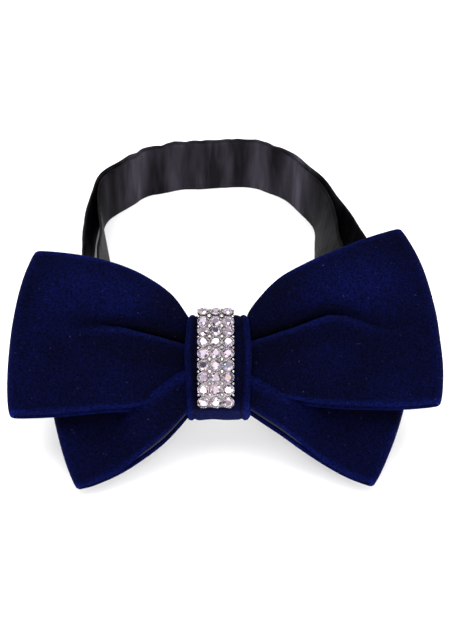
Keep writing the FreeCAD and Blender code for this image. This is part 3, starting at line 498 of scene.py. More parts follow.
PL_L = [([8, 18.6, 27.2, 34, 41.7, 60], [4.6, 6.6, 8.6, 9.3, 8.6, 8.0], 3.8, (18.0, 50.0), 1.15, 0.34),
        ([8, 20, 40, 60], [-2.0, -3.0, -5.0, -6.0], 0.5, (10.0, 40.0), 2.4, 0.5)]
PL_R = [([8, 16, 22, 28, 33, 38, 46, 64], [5.4, 7.2, 8.8, 11.0, 12.6, 12.2, 9.0, 6.0], 3.8, (24.0, 58.0), 1.2, 0.34),
        ([8, 20, 40, 60], [-2.0, -3.0, -5.0, -6.0], 0.5, (10.0, 40.0), 2.4, 0.5)]
LOBE_L = ([8, 12.2, 13.7, 18, 23, 28, 60], [-2.2, -4.0, -5.2, -8.2, -11.7, -15.6, -22.0], 10.8, (17.0, 32.0))
LOBE_R = ([8, 12, 18, 26, 33, 60], [-3.6, -5.2, -8.4, -12.0, -14.4, -20.0], 9.6, (17.0, 33.0))

T_VEL = 0.00135


def ring(name, left, right, seeds, T_edge):
    gl = wing(name, -1, seed=seeds[0], **left)
    gr = wing(name, 1, seed=seeds[1], **right)
    return gl, gr


def centre_strip(g_left, g_right, front, wmid):
    """The pinched middle of the ring, inside the knot, between both wings."""
    a = g_left[0] if front else g_left[-1]
    b = g_right[0] if front else g_right[-1]
    n = 7
    t = np.linspace(0, 1, n)[1:-1][:, None, None]
    return a[None] * (1 - t) + b[None] * t


def build_ring(name, left, right, seeds):
    gl, gr = ring(name, left, right, seeds, 0)
    # from the left wing's front round its end to its back, across to the right
    # wing's back, round to its front, and back to the start
    back = centre_strip(gl, gr, False, 0)
    front = centre_strip(gl, gr, True, 0)[::-1]
    grid = np.concatenate([gl, back, gr[::-1], front], 0)
    P = bow(grid)
    ob = thick_grid(name, P, T_VEL, bulge=0.46, closed=True, painted_sheen_shade=grid[..., 3])
    return ob, grid


front_args_l = dict(FL, wc=WC_F, he=2.3, hf=5.0, hb=4.0, turn=0.034, pleats=PL_L, lobe=None)
front_args_r = dict(FR, wc=WC_F, he=2.3, hf=5.0, hb=4.0, turn=0.032, pleats=PL_R, lobe=None)
rear_args_l = dict(RL, wc=WC_R, he=2.0, hf=3.7, hb=3.7, turn=0.034, pleats=[], lobe=LOBE_L)
rear_args_r = dict(RR, wc=WC_R, he=2.0, hf=3.7, hb=3.7, turn=0.032, pleats=[], lobe=LOBE_R)
front_bow, g_front = build_ring("front_bow_loop", front_args_l, front_args_r, (11, 12))
rear_bow, g_rear = build_ring("rear_bow_loop", rear_args_l, rear_args_r, (21, 22))
for ob, node in ((front_bow, "front_bow_velvet"), (rear_bow, "rear_bow_velvet")):
    paint(ob, VELVET)
    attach(ob, "bow")
    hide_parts(node)


def sheet_area(ob):
    return sum(f.area for f in ob.data.polygons) / 2.0


def ring_len(g):
    m = bow(g[:, g.shape[1] // 2])
    return float(np.linalg.norm(np.diff(np.vstack([m, m[:1]]), axis=0), axis=1).sum())


for ob, g, wide in ((front_bow, g_front, 0.051), (rear_bow, g_rear, 0.0485)):
    a = sheet_area(ob)

# stiffener inside each ring: a thinner sheet just inside the velvet
def lining(name, args_l, args_r, seeds, node):
    def thinner(a):
        b = dict(a)
        b["he"] = a["he"] - 1.25
        b["hf"] = a["hf"] - 1.25
        b["hb"] = a["hb"] - 1.25
        s = 1 if a["top"][0][0] > 0 else -1
        b["top"] = [(p[0], p[1] - 1.0) for p in a["top"]]
        b["bottom"] = [(p[0], p[1] + 1.0) for p in a["bottom"]]
        b["inner"] = [(a["inner"][0][0], a["inner"][0][1] + 1.0), a["inner"][1], (a["inner"][2][0], a["inner"][2][1] - 1.0)]
        o = [(p[0] - s * 1.5, p[1]) for p in a["outer"]]
        o[0] = (o[0][0], o[0][1] + 1.0)
        o[-1] = (o[-1][0], o[-1][1] - 1.0)
        b["outer"] = o
        b["top"][-1] = o[-1]
        b["bottom"][-1] = o[0]
        b["pleats"] = [(p[0], p[1], p[2] * 0.9, p[3], p[4] * 1.1, p[5]) for p in a["pleats"]]
        return b
    gl, gr = wing(name, -1, seed=seeds[0], **thinner(args_l)), wing(name, 1, seed=seeds[1], **thinner(args_r))
    back = centre_strip(gl, gr, False, 0)
    fr = centre_strip(gl, gr, True, 0)[::-1]
    grid = np.concatenate([gl, back, gr[::-1], fr], 0)
    ob = thick_grid(name, bow(grid), 0.0006, bulge=0.3, closed=True)
    paint(ob, LINING)
    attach(ob, "bow")
    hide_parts(node)
    print("LINING", name, round(ring_len(grid), 4), round(sheet_area(ob), 6))
    return ob


lining("front_bow_lining", front_args_l, front_args_r, (11, 12), "front_bow_stiffener")
lining("rear_bow_lining", rear_args_l, rear_args_r, (21, 22), "rear_bow_stiffener")

# ---------------------------------------------------------------- knot's wrap
KT, KB, KF, KR, KQ = 14.9, -14.7, 8.7, -12.2, 5.2


def arc3(p0, pm, p1, n):
    """Points on the circle through three points."""
    (x1, y1), (x2, y2), (x3, y3) = p0, pm, p1
    a = x1 * (y2 - y3) - y1 * (x2 - x3) + x2 * y3 - x3 * y2
    bx = (x1**2 + y1**2) * (y3 - y2) + (x2**2 + y2**2) * (y1 - y3) + (x3**2 + y3**2) * (y2 - y1)
    by = (x1**2 + y1**2) * (x2 - x3) + (x2**2 + y2**2) * (x3 - x1) + (x3**2 + y3**2) * (x1 - x2)
    cx, cy = -bx / (2 * a), -by / (2 * a)
    r = math.hypot(x1 - cx, y1 - cy)
    a0, am, a1 = (math.atan2(p[1] - cy, p[0] - cx) for p in (p0, pm, p1))
    def nxt(s, t, sign):
        d = (t - s) % (2 * math.pi)
        return d if sign > 0 else d - 2 * math.pi
    sign = 1 if ((am - a0) % (2 * math.pi)) < ((a1 - a0) % (2 * math.pi)) else -1
    sw = nxt(a0, a1, sign)
    t = np.linspace(0, 1, n)
    return np.stack([cx + r * np.cos(a0 + sw * t), cy + r * np.sin(a0 + sw * t)], -1)


def knot_outline(off=0.0):
    t, b, f, r = KT - off, KB + off, KF - off, KR + off
    q, fs, qs, k = KQ - off, KF - off - 1.9, 3.2 - off * 0.8, math.sqrt(0.5)
    a1, am, a2 = (t, fs - q), (t - q + q * k, fs - q + q * k), (t - q, fs)
    b2, bm, b1 = (b + q, fs), (b + q - q * k, fs - q + q * k), (b, fs - q)
    c1, cm, c2 = (b, r + qs), (b + qs - qs * k, r + qs - qs * k), (b + qs, r)
    d2, dm, d1 = (t - qs, r), (t - qs + qs * k, r + qs - qs * k), (t, r + qs)
    segs = [arc3(a1, am, a2, 60), arc3(a2, ((t + b) / 2, f), b2, 160), arc3(b2, bm, b1, 60),
            np.linspace(b1, c1, 40), arc3(c1, cm, c2, 30), np.linspace(c2, d2, 120), arc3(d2, dm, d1, 30), np.linspace(d1, a1, 40)]
    out = [segs[0]]
    for s in segs[1:]:
        out.append(s[1:])
    pts = np.concatenate(out, 0)[:-1]
    return pts


OUT = knot_outline()


def resample(pts, n):
    q = np.vstack([pts, pts[:1]])
    d = np.concatenate([[0], np.cumsum(np.linalg.norm(np.diff(q, axis=0), axis=1))])
    t = np.linspace(0, d[-1], n, endpoint=False)
    return np.stack([np.interp(t, d, q[:, 0]), np.interp(t, d, q[:, 1])], -1), d[-1]


ring2, ring_total = resample(knot_outline(0.65), 200)
tang = unit(np.roll(ring2, -1, 0) - np.roll(ring2, 1, 0))
norm2 = np.stack([tang[:, 1], -tang[:, 0]], -1)
cen2 = ring2.mean(0)
if np.sum((ring2[0] - cen2) * norm2[0]) < 0:
    norm2 = -norm2
nu = 49
uu = np.linspace(-1, 1, nu)
half = 9.35 - 0.25
grid = np.zeros((200, nu, 3))
for i in range(200):
    v0, w0 = ring2[i]
    wide = half + 0.18 + 0.12 * math.sin(v0 * 0.32 + 0.8) - (0.55 if w0 > 0 else 0.2) * (v0 / 13.5) ** 2
    roll = -0.95 * np.clip((np.abs(uu) - 0.86) / 0.14, 0, 1) ** 2
    sag = 0.16 * np.cos(uu * 2.2 + v0 * 0.21) - 0.10 * np.cos(uu * 7.0 + v0 * 0.35) * (0.5 if w0 > 0 else 1.0)
    off = roll + sag * (1 - np.abs(uu) ** 4) - 0.42 * np.exp(-((np.abs(uu) - 0.775) / 0.075) ** 2) + 0.22 * np.exp(-((np.abs(uu) - 0.90) / 0.06) ** 2)
    grid[i, :, 0] = uu * wide
    grid[i, :, 1] = v0 + norm2[i, 0] * off
    grid[i, :, 2] = w0 + norm2[i, 1] * off
# Painted light on the knot's wrap: painted sheen on its rolled sides and at the bottom, painted shade in the groove
# beside each side and over the front half.
wrap_painted_sheen_shade = (0.62 * smooth(0.84, 0.93, np.abs(uu)) - 0.5 * np.exp(-((np.abs(uu) - 0.76) / 0.07) ** 2))[None, :] + np.where(grid[..., 2] > 0, -0.25, 0.0) + 0.45 * smooth(-10.5, -13.5, grid[..., 1])
wrap = thick_grid("knot_velvet", bow(grid), 0.0012, bulge=0.45, closed=True, painted_sheen_shade=wrap_painted_sheen_shade)
paint(wrap, VELVET)
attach(wrap, "bow")
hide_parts("knot_wrap")

# --------------------------------------------------------------- cups, stones
PITCH, PITCH_U, ROWS, COLS, STRIP_U, START = 3.42, 3.66, 10, 3, -0.7, -12.9
CR, CH, CW = 1.71, 1.15, 0.13
seq = OUT
mid_i = min(range(len(seq)), key=lambda i: abs(seq[i][0]) if seq[i][1] > 3 else 1e9)
up_seq = np.roll(seq, -mid_i, 0)
if up_seq[20][0] < up_seq[0][0]:
    up_seq = np.roll(seq[::-1], -(len(seq) - 1 - mid_i), 0)
dn_seq = np.vstack([up_seq[:1], up_seq[:0:-1]])


def on_outline(dist):
    s = up_seq if dist >= 0 else dn_seq
    d = np.concatenate([[0], np.cumsum(np.linalg.norm(np.diff(s, axis=0), axis=1))])
    k = int(np.searchsorted(d, abs(dist), side="right")) - 1
    t = (abs(dist) - d[k]) / (d[k + 1] - d[k])
    p = s[k] * (1 - t) + s[k + 1] * t
    q = unit(s[k + 1] - s[k])
    if dist < 0:
        q = -q
    return p, q, np.array([-q[1], q[0]]) * (1 if -q[1] * 0 + q[0] > -2 else 1)


cups_v, cups_f, st_v, st_f, st_painted_glint = [], [], [], [], []
net_v, net_f = [], []
rnd = random.Random(77)


def place(local, org, ax):
    """Local points in the cup's frame (x, y across, z out) to the bow frame."""
    local = np.asarray(local, float)
    return org + local[:, :1] * 1.05 * ax[0] + local[:, 1:2] * ax[1] + local[:, 2:3] * ax[2]


def lathe(profile, n):
    vs, fs = [], []
    m = len(profile)
    for i in range(n):
        a = 2 * math.pi * i / n
        for r, z in profile:
            vs.append((r * math.cos(a), r * math.sin(a), z))
    for i in range(n):
        i2 = (i + 1) % n
        for k in range(m - 1):
            fs.append((i * m + k, i2 * m + k, i2 * m + k + 1, i * m + k + 1))
    return vs, fs


CUP_PROFILE = [(0.001, 0.0), (CR * 0.78, 0.0), (CR * 0.93, 0.14), (CR * 0.99, 0.42), (CR, CH - 0.10), (CR - 0.03, CH), (CR - 0.10, CH + 0.03),
               (CR - CW, CH - 0.04), (CR - CW - 0.06, 0.5), (CR * 0.70, CW), (0.001, CW)]
cup_v, cup_f = lathe(CUP_PROFILE, 28)


def ball(c, r, n=7, m=5, squash=(1, 1, 1)):
    vs, fs = [], []
    for j in range(m + 1):
        th = math.pi * j / m
        for i in range(n):
            a = 2 * math.pi * i / n
            vs.append((c[0] + r * squash[0] * math.sin(th) * math.cos(a), c[1] + r * squash[1] * math.sin(th) * math.sin(a), c[2] + r * squash[2] * math.cos(th)))
    for j in range(m):
        for i in range(n):
            fs.append((j * n + i, j * n + (i + 1) % n, (j + 1) * n + (i + 1) % n, (j + 1) * n + i))
    return vs, fs


def brilliant():
    """Cut stone: table, star and kite facets, girdle, lower facets."""
    n = 8
    rg = CR - CW - 0.01
    vs, fs, kind = [], [], []
    def ringp(r, z, ph):
        base = len(vs)
        for i in range(n):
            a = 2 * math.pi * (i + ph) / n
            vs.append((r * math.cos(a), r * math.sin(a), z))
        return base
    t0 = ringp(rg * 0.54, 1.72, 0.0)
    s0 = ringp(rg * 0.80, 1.42, 0.5)
    g0 = ringp(rg * 1.0, 1.02, 0.0)
    g1 = ringp(rg * 1.0, 1.02, 0.5)
    l0 = ringp(rg * 0.99, 0.90, 0.0)
    b0 = ringp(0.45, CW + 0.02, 0.0)
    fs.append(tuple(t0 + i for i in range(n))); kind.append(0)
    for i in range(n):
        j = (i + 1) % n
        fs.append((t0 + i, s0 + i, t0 + j)); kind.append(1)          # star
        fs.append((t0 + i, s0 + (i - 1) % n, g0 + i, s0 + i)); kind.append(2)   # kite
        fs.append((s0 + i, g0 + i, g1 + i)); kind.append(3)
        fs.append((s0 + i, g1 + i, g0 + j)); kind.append(3)
        fs.append((g0 + i, l0 + i, g1 + i)); kind.append(4)
        fs.append((g1 + i, l0 + i, l0 + j)); kind.append(4)
        fs.append((g1 + i, l0 + j, g0 + j)); kind.append(4)
        fs.append((l0 + i, b0 + i, b0 + j, l0 + j)); kind.append(5)
    fs.append(tuple(b0 + i for i in reversed(range(n)))); kind.append(5)
    return vs, fs, kind


br_v, br_f, br_k = brilliant()
# Painted glints and reflections: each facet gets one of these colours at random, from white, pink and blue glints to
# near-black reflections.
PAINTED_GLINT_COLOURS = [(1.0, 0.94, 0.97), (0.92, 0.86, 0.90), (0.58, 0.51, 0.57), (0.26, 0.23, 0.27), (0.08, 0.08, 0.11), (0.95, 0.66, 0.70), (0.62, 0.58, 0.95), (0.70, 0.90, 1.0), (0.95, 0.78, 0.68), (0.42, 0.38, 0.44)]
WEIGHT = [2.2, 2, 5, 6, 4.5, 2.0, 1.2, 0.8, 1.6, 6]
prev = []
for r in range(ROWS):
    p, q, n_ = on_outline(START + r * PITCH)
    nrm = np.array([0.0, -q[1], q[0]])
    if r == 0:
        flip = 1.0 if nrm[2] > 0 else -1.0
    nrm = nrm * flip
    ax = (np.array([1.0, 0, 0]), np.cross(nrm, np.array([1.0, 0, 0])), nrm)
    for c in range(COLS):
        u = STRIP_U + (c - 1) * PITCH_U
        org = np.array([u, p[0], p[1]]) + nrm * 0.42
        base = len(cups_v)
        cups_v += list(place(cup_v, org, ax))
        cups_f += [tuple(base + i for i in f) for f in cup_f]
        turn = math.radians(rnd.uniform(-6, 6))
        for k in range(8):
            a = math.pi / 8 + k * math.pi / 4 + turn
            if k % 2 == 0:
                bv, bf = ball(((CR - 0.17) * math.cos(a), (CR - 0.17) * math.sin(a), CH + 0.13), 0.30, 8, 6, (1, 1, 0.9))
            else:
                bv, bf = ball(((CR - 0.05) * math.cos(a), (CR - 0.05) * math.sin(a), CH - 0.02), 0.15, 6, 5)
            base = len(cups_v)
            cups_v += list(place(bv, org, ax))
            cups_f += [tuple(base + i for i in f) for f in bf]
        rot = rnd.uniform(0, math.pi / 4)
        tilt = (rnd.uniform(-0.05, 0.05), rnd.uniform(-0.05, 0.05))
        ca, sa = math.cos(rot), math.sin(rot)
        lv = []
        for x, y, z in br_v:
            x, y = x * ca - y * sa, x * sa + y * ca
            lv.append((x, y, z + x * tilt[0] + y * tilt[1]))
        base = len(st_v)
        st_v += list(place(lv, org, ax))
        for f, k in zip(br_f, br_k):
            st_f.append(tuple(base + i for i in f))
            # painted glint or dark reflection for this facet, at a random strength
            col = PAINTED_GLINT_COLOURS[rnd.choices(range(len(PAINTED_GLINT_COLOURS)), WEIGHT)[0]]
            g = rnd.uniform(0.42, 0.92)
            if k == 0:
                g *= 1.0
            st_painted_glint.append((col[0] * g, col[1] * g * 0.94, col[2] * g * 0.96))

# scalloped metal backing that closes the gaps between the cups
nr = ROWS * 8 - 3
dist = np.linspace(START - 0.46 * PITCH, START + (ROWS - 1 + 0.46) * PITCH, nr)
back_grid = np.zeros((nr, 9, 3))
for i, dd in enumerate(dist):
    p, q, n_ = on_outline(dd)
    nrm = np.array([0.0, -q[1], q[0]]) * flip
    ph = (dd - START) / PITCH
    hw = PITCH_U + 0.98 + 0.42 * math.cos(2 * math.pi * ph)
    for j, t in enumerate(np.linspace(-1, 1, 9)):
        back_grid[i, j] = np.array([STRIP_U + t * hw, p[0], p[1]]) + nrm * 0.86
backing = thick_grid("strip_backing", bow(back_grid), 0.00026, bulge=0.4)
paint(backing, DULL_SILVER)
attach(backing, "bow")
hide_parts("cup_net")
bead_v, bead_f = [], []
for r in range(ROWS - 1):
    for half_ in (0,):
        p, q, n_ = on_outline(START + (r + 0.5) * PITCH)
        nrm = np.array([0.0, -q[1], q[0]]) * flip
        axb = (np.array([1.0, 0, 0]), np.cross(nrm, np.array([1.0, 0, 0])), nrm)
        for c, rad in ((-1.5, 0.42), (-0.5, 0.66), (0.5, 0.66), (1.5, 0.42)):
            x0 = STRIP_U + c * PITCH_U * (1.0 if abs(c) < 1 else 0.93)
            bv, bf = ball((0, 0, 0), rad, 8, 5, (1, 1, 0.85))
            ang = rnd.uniform(0, 0.8)
            bv = [(x * math.cos(ang) - y * math.sin(ang), x * math.sin(ang) + y * math.cos(ang), z) for x, y, z in bv]
            base = len(bead_v)
            bead_v += list(place(bv, np.array([x0, p[0], p[1]]) + nrm * (1.42 if abs(c) < 1 else 1.25), axb))
            bead_f += [tuple(base + i for i in f) for f in bf]
beads = mesh_object("strip_grain_beads", bow(np.array(bead_v)), bead_f, smooth_faces=False)
paint(beads, SILVER)
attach(beads, "bow")
sv, sf = [], []
for dd, way in ((START - 0.46 * PITCH, -1), (START + (ROWS - 1 + 0.46) * PITCH, 1)):
    for c in range(COLS):
        pts_s = []
        for k in range(7):
            p, q, n_ = on_outline(dd + way * (-0.55 + 0.27 * k))
            nrm = np.array([0.0, -q[1], q[0]]) * flip
            lift = 1.05 * (1 - k / 6.0) ** 0.6 + 0.02
            pts_s.append(np.array([STRIP_U + (c - 1) * PITCH_U + 0.12 * k / 6, p[0], p[1]]) + nrm * lift)
        base = len(sv)
        for pt in pts_s:
            for kk in range(6):
                a = math.pi * kk / 3
                sv.append(pt + np.array([0.15 * math.cos(a), 0.0, 0.0]) + nrm * 0.15 * math.sin(a))
        for k in range(6):
            for kk in range(6):
                sf.append((base + k * 6 + kk, base + k * 6 + (kk + 1) % 6, base + (k + 1) * 6 + (kk + 1) % 6, base + (k + 1) * 6 + kk))
        sf.append(tuple(base + kk for kk in range(6)))
        sf.append(tuple(base + 36 + kk for kk in reversed(range(6))))
ends = mesh_object("strip_end_threads", bow(np.array(sv)), sf)
paint(ends, BLUE_THREAD)
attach(ends, "bow")
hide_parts("strip_end_stitches")
cups = mesh_object("rhinestone_cups", bow(np.array(cups_v)), cups_f)
paint(cups, SILVER)
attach(cups, "bow")
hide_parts("stone_cups")
stones = mesh_object("rhinestones", bow(np.array(st_v)), st_f, smooth_faces=False)
colr = stones.data.color_attributes.new("facet", "FLOAT_COLOR", "CORNER")
if len(stones.data.polygons) == len(st_painted_glint):
    for poly_, c in zip(stones.data.polygons, st_painted_glint):
        for li in poly_.loop_indices:
            colr.data[li].color = (c[0], c[1], c[2], 1.0)
else:
    raise RuntimeError("facet count")
paint(stones, STONE)
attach(stones, "bow")
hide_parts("stones")

# ------------------------------------------------------------------ the band
SLX, SLY, SLZ = -38.5, 38.0, 12.2
HU, HW, BRAD = 38.0, -17.25, 0.8
EU, EW = 22.5, -15.5


def bp(u, w, v=0.0):
    return (u, v * SN - w * CS, KZ + v * CS + w * SN)


aV = (0, SN, CS)
up = (0, 0, 1)
root_st = [
    (bp(-6.0, -10.46), aV), (bp(-9.8, -10.5), aV), (bp(-12.0, -11.5), aV), (bp(-14.2, -12.42), aV),
    (bp(-18.5, -14.0), aV), (bp(-23.5, -15.4), (0.10, 0.80, 0.60)),
]
in_st = [
    (bp(-23.5, -15.4), (0.10, 0.80, 0.60)),
    ((-28.6, 11.2, 15.4), (0.30, 0.68, 0.68)), ((-33.2, 14.6, 14.0), (0.30, 0.40, 0.86)), ((-36.6, 19.2, 12.8), (0.14, 0.12, 0.98)),
    ((SLX, 25.4, SLZ), up), ((SLX, 34.0, SLZ), up), ((SLX, 44.0, SLZ), up), ((SLX, 53.6, SLZ), up), ((-38.2, 62.0, 11.6), (-0.04, 0, 1)), ((-37.4, 72.0, 10.6), (-0.13, 0, 0.99)),
    ((-37.2, 84.0, 10.1), (-0.17, 0, 0.985)), ((-38.7, 95.0, 10.05), (-0.10, 0, 0.995)), ((-39.6, 104.5, 10.0), (-0.02, 0, 1)),
    ((-37.6, 113.0, 10.0), up), ((-32.2, 119.6, 10.0), up), ((-23.9, 127.6, 10.0), up), ((-13.3, 131.0, 10.0), up),
    ((-1.6, 132.2, 10.0), up), ((6.0, 132.9, 10.0), up), ((15.2, 131.2, 10.0), up), ((23.3, 124.9, 10.0), up), ((28.8, 117.3, 10.0), up),
    ((33.4, 108.4, 10.05), (0.08, 0, 0.99)), ((35.6, 98.0, 10.2), (0.24, 0.0, 0.97)), ((36.1, 87.0, 10.4), (0.34, 0.0, 0.94)),
    ((37.4, 74.0, 10.7), (0.34, 0.0, 0.94)), ((40.2, 58.0, 11.2), (0.22, 0.0, 0.97)), ((43.4, 42.0, 11.6), (0.04, 0.0, 1.0)),
    ((45.9, 29.0, 12.4), (-0.16, 0.12, 0.98)), ((46.9, 20.5, 13.6), (-0.34, 0.34, 0.88)), ((45.2, 14.4, 15.0), (-0.42, 0.58, 0.70)),
]
ri = BRAD + 0.35 + 0.5
in_st.append((bp(HU + 3.2, HW - ri - 0.05), aV))
for k in range(9):
    a = math.radians(-90 - 180.0 * k / 8)
    in_st.append((bp(HU + ri * math.cos(a), HW + ri * math.sin(a)), aV))
in_st.append((bp(HU + 3.2, HW + ri + 0.05), aV))
out_st = [
    ((46.6, 11.6, 15.7), (-0.36, 0.66, 0.66)), ((49.6, 20.0, 13.6), (-0.34, 0.34, 0.88)), ((51.2, 29.0, 12.3), (-0.14, 0.12, 0.98)),
    ((51.6, 42.0, 11.4), (0.05, 0.0, 1.0)), ((50.2, 58.0, 10.8), (0.18, 0.0, 0.98)), ((46.6, 74.0, 10.4), (0.26, 0.0, 0.965)),
    ((42.8, 87.0, 10.3), (0.26, 0.0, 0.965)), ((39.2, 98.6, 10.15), (0.18, 0.0, 0.98)), ((35.6, 109.4, 10.05), (0.06, 0.0, 1.0)),
    ((30.6, 118.6, 10.0), up), ((24.7, 126.5, 10.0), up), ((16.0, 132.6, 10.0), up), ((6.1, 134.35, 10.0), up), ((-1.7, 133.7, 10.0), up),
    ((-13.7, 132.5, 10.0), up), ((-24.7, 129.1, 10.0), up), ((-33.5, 121.2, 10.0), up), ((-39.4, 114.0, 10.0), up),
    ((-41.7, 104.6, 10.0), (-0.03, 0, 1)), ((-42.3, 94.0, 10.1), (-0.08, 0, 1)), ((-43.2, 82.0, 10.3), (-0.08, 0, 0.997)),
    ((-43.6, 70.0, 10.9), up),
]
end_st = [((-43.6, 70.0, 10.9), up), ((-43.2, 62.0, 11.7), up), ((SLX - 3.9, 54.0, SLZ), up), ((SLX - 3.35, 48.0, SLZ), up)]
rb = 0.7 + 0.05 + 0.4
BN = 4.55 - 1.0 - 0.5 - 0.3
end_st.append(((SLX - BN - 0.55, SLY + 4.5, SLZ), up))
for k in range(9):
    a = math.radians(90 + 180.0 * k / 8)
    end_st.append(((SLX - BN - rb * math.sin(a), SLY + rb * math.cos(a), SLZ), up))
end_st += [((SLX - BN + 0.42, SLY + 4.5, SLZ), up), ((SLX - BN + 0.42, SLY + 9.0, SLZ), up)]


def ribbon_grid(stations, step, width=20.0, nb=17, wrinkle=None, tangent0=None, tangent1=None):
    c = np.array([s[0] for s in stations], float)
    w = unit(np.array([s[1] for s in stations], float))
    L = np.linalg.norm(np.diff(c, axis=0), axis=1).sum()
    n = max(4, int(L / step))
    t = np.linspace(0, 1, n)
    cc = spline(c, t)
    d = np.concatenate([[0], np.cumsum(np.linalg.norm(np.diff(c, axis=0), axis=1))])
    d /= d[-1]
    ww = np.stack([np.interp(t, d, w[:, k]) for k in range(3)], -1)
    k_ = np.array([1, 2, 3, 2, 1], float) / 9
    for ax_ in range(3):
        pad = np.pad(ww[:, ax_], 2, mode="edge")
        sm = np.convolve(pad, k_, mode="valid")
        ww[2:-2, ax_] = sm[2:-2]
    tt = np.gradient(cc, axis=0)
    if tangent0 is not None:
        tt[0] = tangent0
    if tangent1 is not None:
        tt[-1] = tangent1
    tt = unit(tt)
    ww = unit(ww - tt * np.sum(ww * tt, -1, keepdims=True))
    nn = unit(np.cross(tt, ww))
    b = np.linspace(-1, 1, nb)
    P = cc[:, None] + ww[:, None] * (b[None, :, None] * (width / 2 - 0.6) - 0.4)
    if wrinkle is not None:
        off = wrinkle(cc, b)
        P = P + nn[:, None] * off[..., None]
    return P


def back_wrinkles(cc, b):
    """Soft upright folds at the back of the loop, a sharper one at its left."""
    x, y = cc[:, 0][:, None], cc[:, 1][:, None]
    bb = b[None, :]
    back = smooth(108.0, 124.0, y)
    off = np.zeros((len(cc), len(b)))
    for cx, amp, wd, lean in ((-20.0, 0.55, 1.5, 0.6), (-10.4, 0.30, 1.1, -0.5), (-6.2, 0.34, 1.3, 0.4), (4.0, 0.42, 1.2, 1.2), (9.6, 0.25, 1.6, -0.8), (-28.5, 0.7, 1.5, 0.5), (19.0, 0.45, 1.6, 0.6), (14.0, -0.35, 1.3, -0.6), (-15.0, -0.30, 1.2, 0.3)):
        off += 1.5 * amp * np.exp(-((x - cx - lean * bb) / wd) ** 2) * back * (0.60 + 0.40 * bb)
    off += 0.16 * np.sin(x * 0.55 + bb * 1.2) * back
    off *= np.where(np.gradient(cc[:, 0]) < 0, -1.0, 1.0)[:, None] * back + (1 - back)
    off += 0.22 * np.sin(y * 0.16 + bb * 0.9 + x * 0.02) * (1 - back)
    off += 0.16 * np.sin(np.cumsum(np.linalg.norm(np.gradient(cc, axis=0), axis=1))[:, None] * 0.33) * bb ** 2
    fade = np.minimum(smooth(0, 12, np.arange(len(cc))), 1 - smooth(len(cc) - 12, len(cc), np.arange(len(cc))))
    return off * fade[:, None]


def soften_edges(P):
    """Satin ribbon: returns the grid unchanged; it is not cupped across its width."""
    return P


band_grid = ribbon_grid(in_st + out_st, 0.9, wrinkle=back_wrinkles)
root_grid = ribbon_grid(root_st, 0.9)
end_grid = ribbon_grid(end_st, 0.45)
# the pieces share their end rows
band_grid[0] = root_grid[-1] = (band_grid[0] + root_grid[-1]) / 2
band_grid[-1] = end_grid[0] = (band_grid[-1] + end_grid[0]) / 2
T_SAT = 0.00085
by_ = band_grid[..., 1]
bx_ = band_grid[..., 0]
# Painted sheen: lighter at the back of the loop in soft bands across it, plus a painted highlight strip on the left
# side; the rest of the band stays dark.
band_painted_sheen = smooth(106.0, 124.0, by_) * (0.72 + 0.28 * np.cos(bx_ * 0.42)) + 0.30 * np.exp(-((bx_ + 29.0) / 3.0) ** 2) * smooth(100, 112, by_)
band = thick_grid("neckband_strap", flat(band_grid), T_SAT, bulge=0.4, painted_sheen_shade=band_painted_sheen)
paint(band, SATIN)
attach(band, "band")
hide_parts("band_inner_strap", "band_outer_strap", "band_hook_fold")
root = thick_grid("neckband_root", flat(root_grid), T_SAT, bulge=0.4)
paint(root, SATIN)
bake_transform(root)
tail = thick_grid("neckband_end", flat(end_grid), T_SAT, bulge=0.4)
paint(tail, SATIN)
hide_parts("band_end_loop")
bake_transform(tail)

tape_st = [(bp(-7.0, -10.46), aV), (bp(0.0, -10.44), aV), (bp(7.0, -10.46), aV), (bp(9.8, -10.5), aV), (bp(12.7, -11.85), aV), (bp(16.6, -13.45), aV),
           (bp(19.4, EW + 1.25), aV), (bp(EU - 0.6, EW + 1.6), aV)]
re_ = BRAD + 0.35 + 0.4
for k in range(9):
    a = math.radians(90 - 180.0 * k / 8)
    tape_st.append((bp(EU + re_ * math.cos(a), EW + re_ * math.sin(a)), aV))
tape_st += [(bp(EU - 1.5, EW - 1.25), aV), (bp(19.2, EW + 0.25), aV), (bp(16.8, -14.45), aV), (bp(13.2, -13.05), aV)]
tape_grid = ribbon_grid(tape_st, 0.6)
tape = thick_grid("knot_tape_satin", flat(tape_grid), 0.0008, bulge=0.4)
paint(tape, SATIN)
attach(tape, "bow")
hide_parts("knot_tape", "eye_tab")

def grid_len(g):
    c = g[:, g.shape[1] // 2] / 1000.0
    return float(np.linalg.norm(np.diff(c, axis=0), axis=1).sum())


for ob, g, held, rests in ((band, band_grid, "folded", ["hook"]), (root, root_grid, "folded", ["knot_wrap"]),
                           (tail, end_grid, "folded", ["slider"]), (tape, tape_grid, "folded", ["eye_ring"])):
    print("STRAP", ob.name, round(grid_len(g), 4), round(sheet_area(ob), 6))

# -------------------------------------------------- CAD nodes that stay, finishes
KEEP = {
    "eye_ring": BLACK_METAL, "hook": BLACK_METAL, "slider": BLACK_METAL, "binding_thread": BLUE_THREAD, "knot_padding": WADDING,
    "knot_seam_stitches": BLUE_THREAD, "eye_tab_stitches": THREAD, "band_end_stitches": THREAD,
}
for node, m in KEEP.items():
    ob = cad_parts[node]
    if not ob.material_slots:
        ob.data.materials.append(m)
    for s in ob.material_slots:
        s.material = m

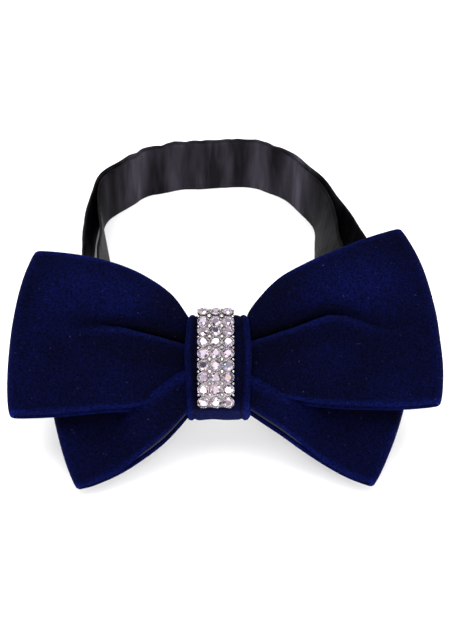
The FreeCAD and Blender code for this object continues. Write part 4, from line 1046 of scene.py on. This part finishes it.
# ------------------------------------------------------------------ the studio
scene = bpy.context.scene
floor_me = bpy.data.meshes.new("floor")
pts, fcs = [], []
prof = [(-1.6, 0.0), (0.9, 0.0)]
for k in range(1, 13):
    a = math.radians(90.0 * k / 12)
    prof.append((0.9 + 0.5 * math.sin(a), 0.5 - 0.5 * math.cos(a)))
prof.append((1.4, 2.2))
for y, z in prof:
    pts += [(-2.2, y, z), (2.2, y, z)]
for k in range(len(prof) - 1):
    fcs.append((2 * k, 2 * k + 1, 2 * k + 3, 2 * k + 2))
floor_me.from_pydata(pts, [], fcs)
floor = bpy.data.objects.new("floor", floor_me)
scene.collection.objects.link(floor)
for f in floor_me.polygons:
    f.use_smooth = True
fm, fnt, fb = mat("white_sweep")
fb.inputs["Base Color"].default_value = (0.93, 0.93, 0.935, 1)
fb.inputs["Roughness"].default_value = 0.6
fb.inputs["Specular IOR Level"].default_value = 0.2
paint(floor, fm)

world = bpy.data.worlds.new("studio")
scene.world = world
world.use_nodes = True
wb = world.node_tree.nodes["Background"]
wb.inputs["Color"].default_value = (1.0, 1.0, 1.0, 1.0)
wb.inputs["Strength"].default_value = 0.80


def area(name, loc, target, size, power, color=(1, 1, 1), size_y=None):
    li = bpy.data.lights.new(name, "AREA")
    li.energy = power
    li.color = color
    li.size = size
    if size_y:
        li.shape = "RECTANGLE"
        li.size_y = size_y
    ob = bpy.data.objects.new(name, li)
    ob.location = loc
    d = Vector(target) - Vector(loc)
    ob.rotation_euler = d.to_track_quat("-Z", "Y").to_euler()
    scene.collection.objects.link(ob)
    return ob


area("top_softbox", (0.0, -0.20, 0.95), (0.0, 0.0, 0.0), 0.9, 9.0, size_y=0.7)
area("back_strip", (0.0, 0.85, 0.60), (0.0, 0.0, 0.02), 0.9, 3.5, size_y=0.35)
area("front_fill", (0.05, -0.80, 0.40), (0.0, 0.0, 0.0), 0.8, 6.0, size_y=0.35)
area("left_strip", (-0.75, -0.1, 0.45), (0.0, -0.02, 0.02), 0.3, 1.2, size_y=0.8)
area("right_strip", (0.75, -0.05, 0.45), (0.0, -0.02, 0.02), 0.3, 1.2, size_y=0.8)

# ----------------------------------------------------------------- the camera
CAM_E, CAM_D = math.radians(40.0), 0.700
MMPX = 0.298
PX, PY = 218.0, 365.0
F_PX = 700.0 / MMPX
P0 = Vector(tuple(flat((0, 0, KZ))))
d0 = Vector((0, math.cos(CAM_E), -math.sin(CAM_E)))
cam_loc = P0 - d0 * CAM_D
upv = Vector((0, math.sin(CAM_E), math.cos(CAM_E)))
fw = (d0 * F_PX + Vector((1, 0, 0)) * (226.0 - PX) + upv * (PY - 321.5)).normalized()
cam_data = bpy.data.cameras.new("camera")
cam_data.sensor_fit = "VERTICAL"
cam_data.sensor_height = 36.0
cam_data.lens = F_PX * 36.0 / 643.0
cam = bpy.data.objects.new("camera", cam_data)
cam.location = cam_loc
cam.rotation_euler = fw.to_track_quat("-Z", "Y").to_euler()
scene.collection.objects.link(cam)
scene.camera = cam
scene.view_settings.view_transform = "Standard"
scene.view_settings.exposure = 0.0
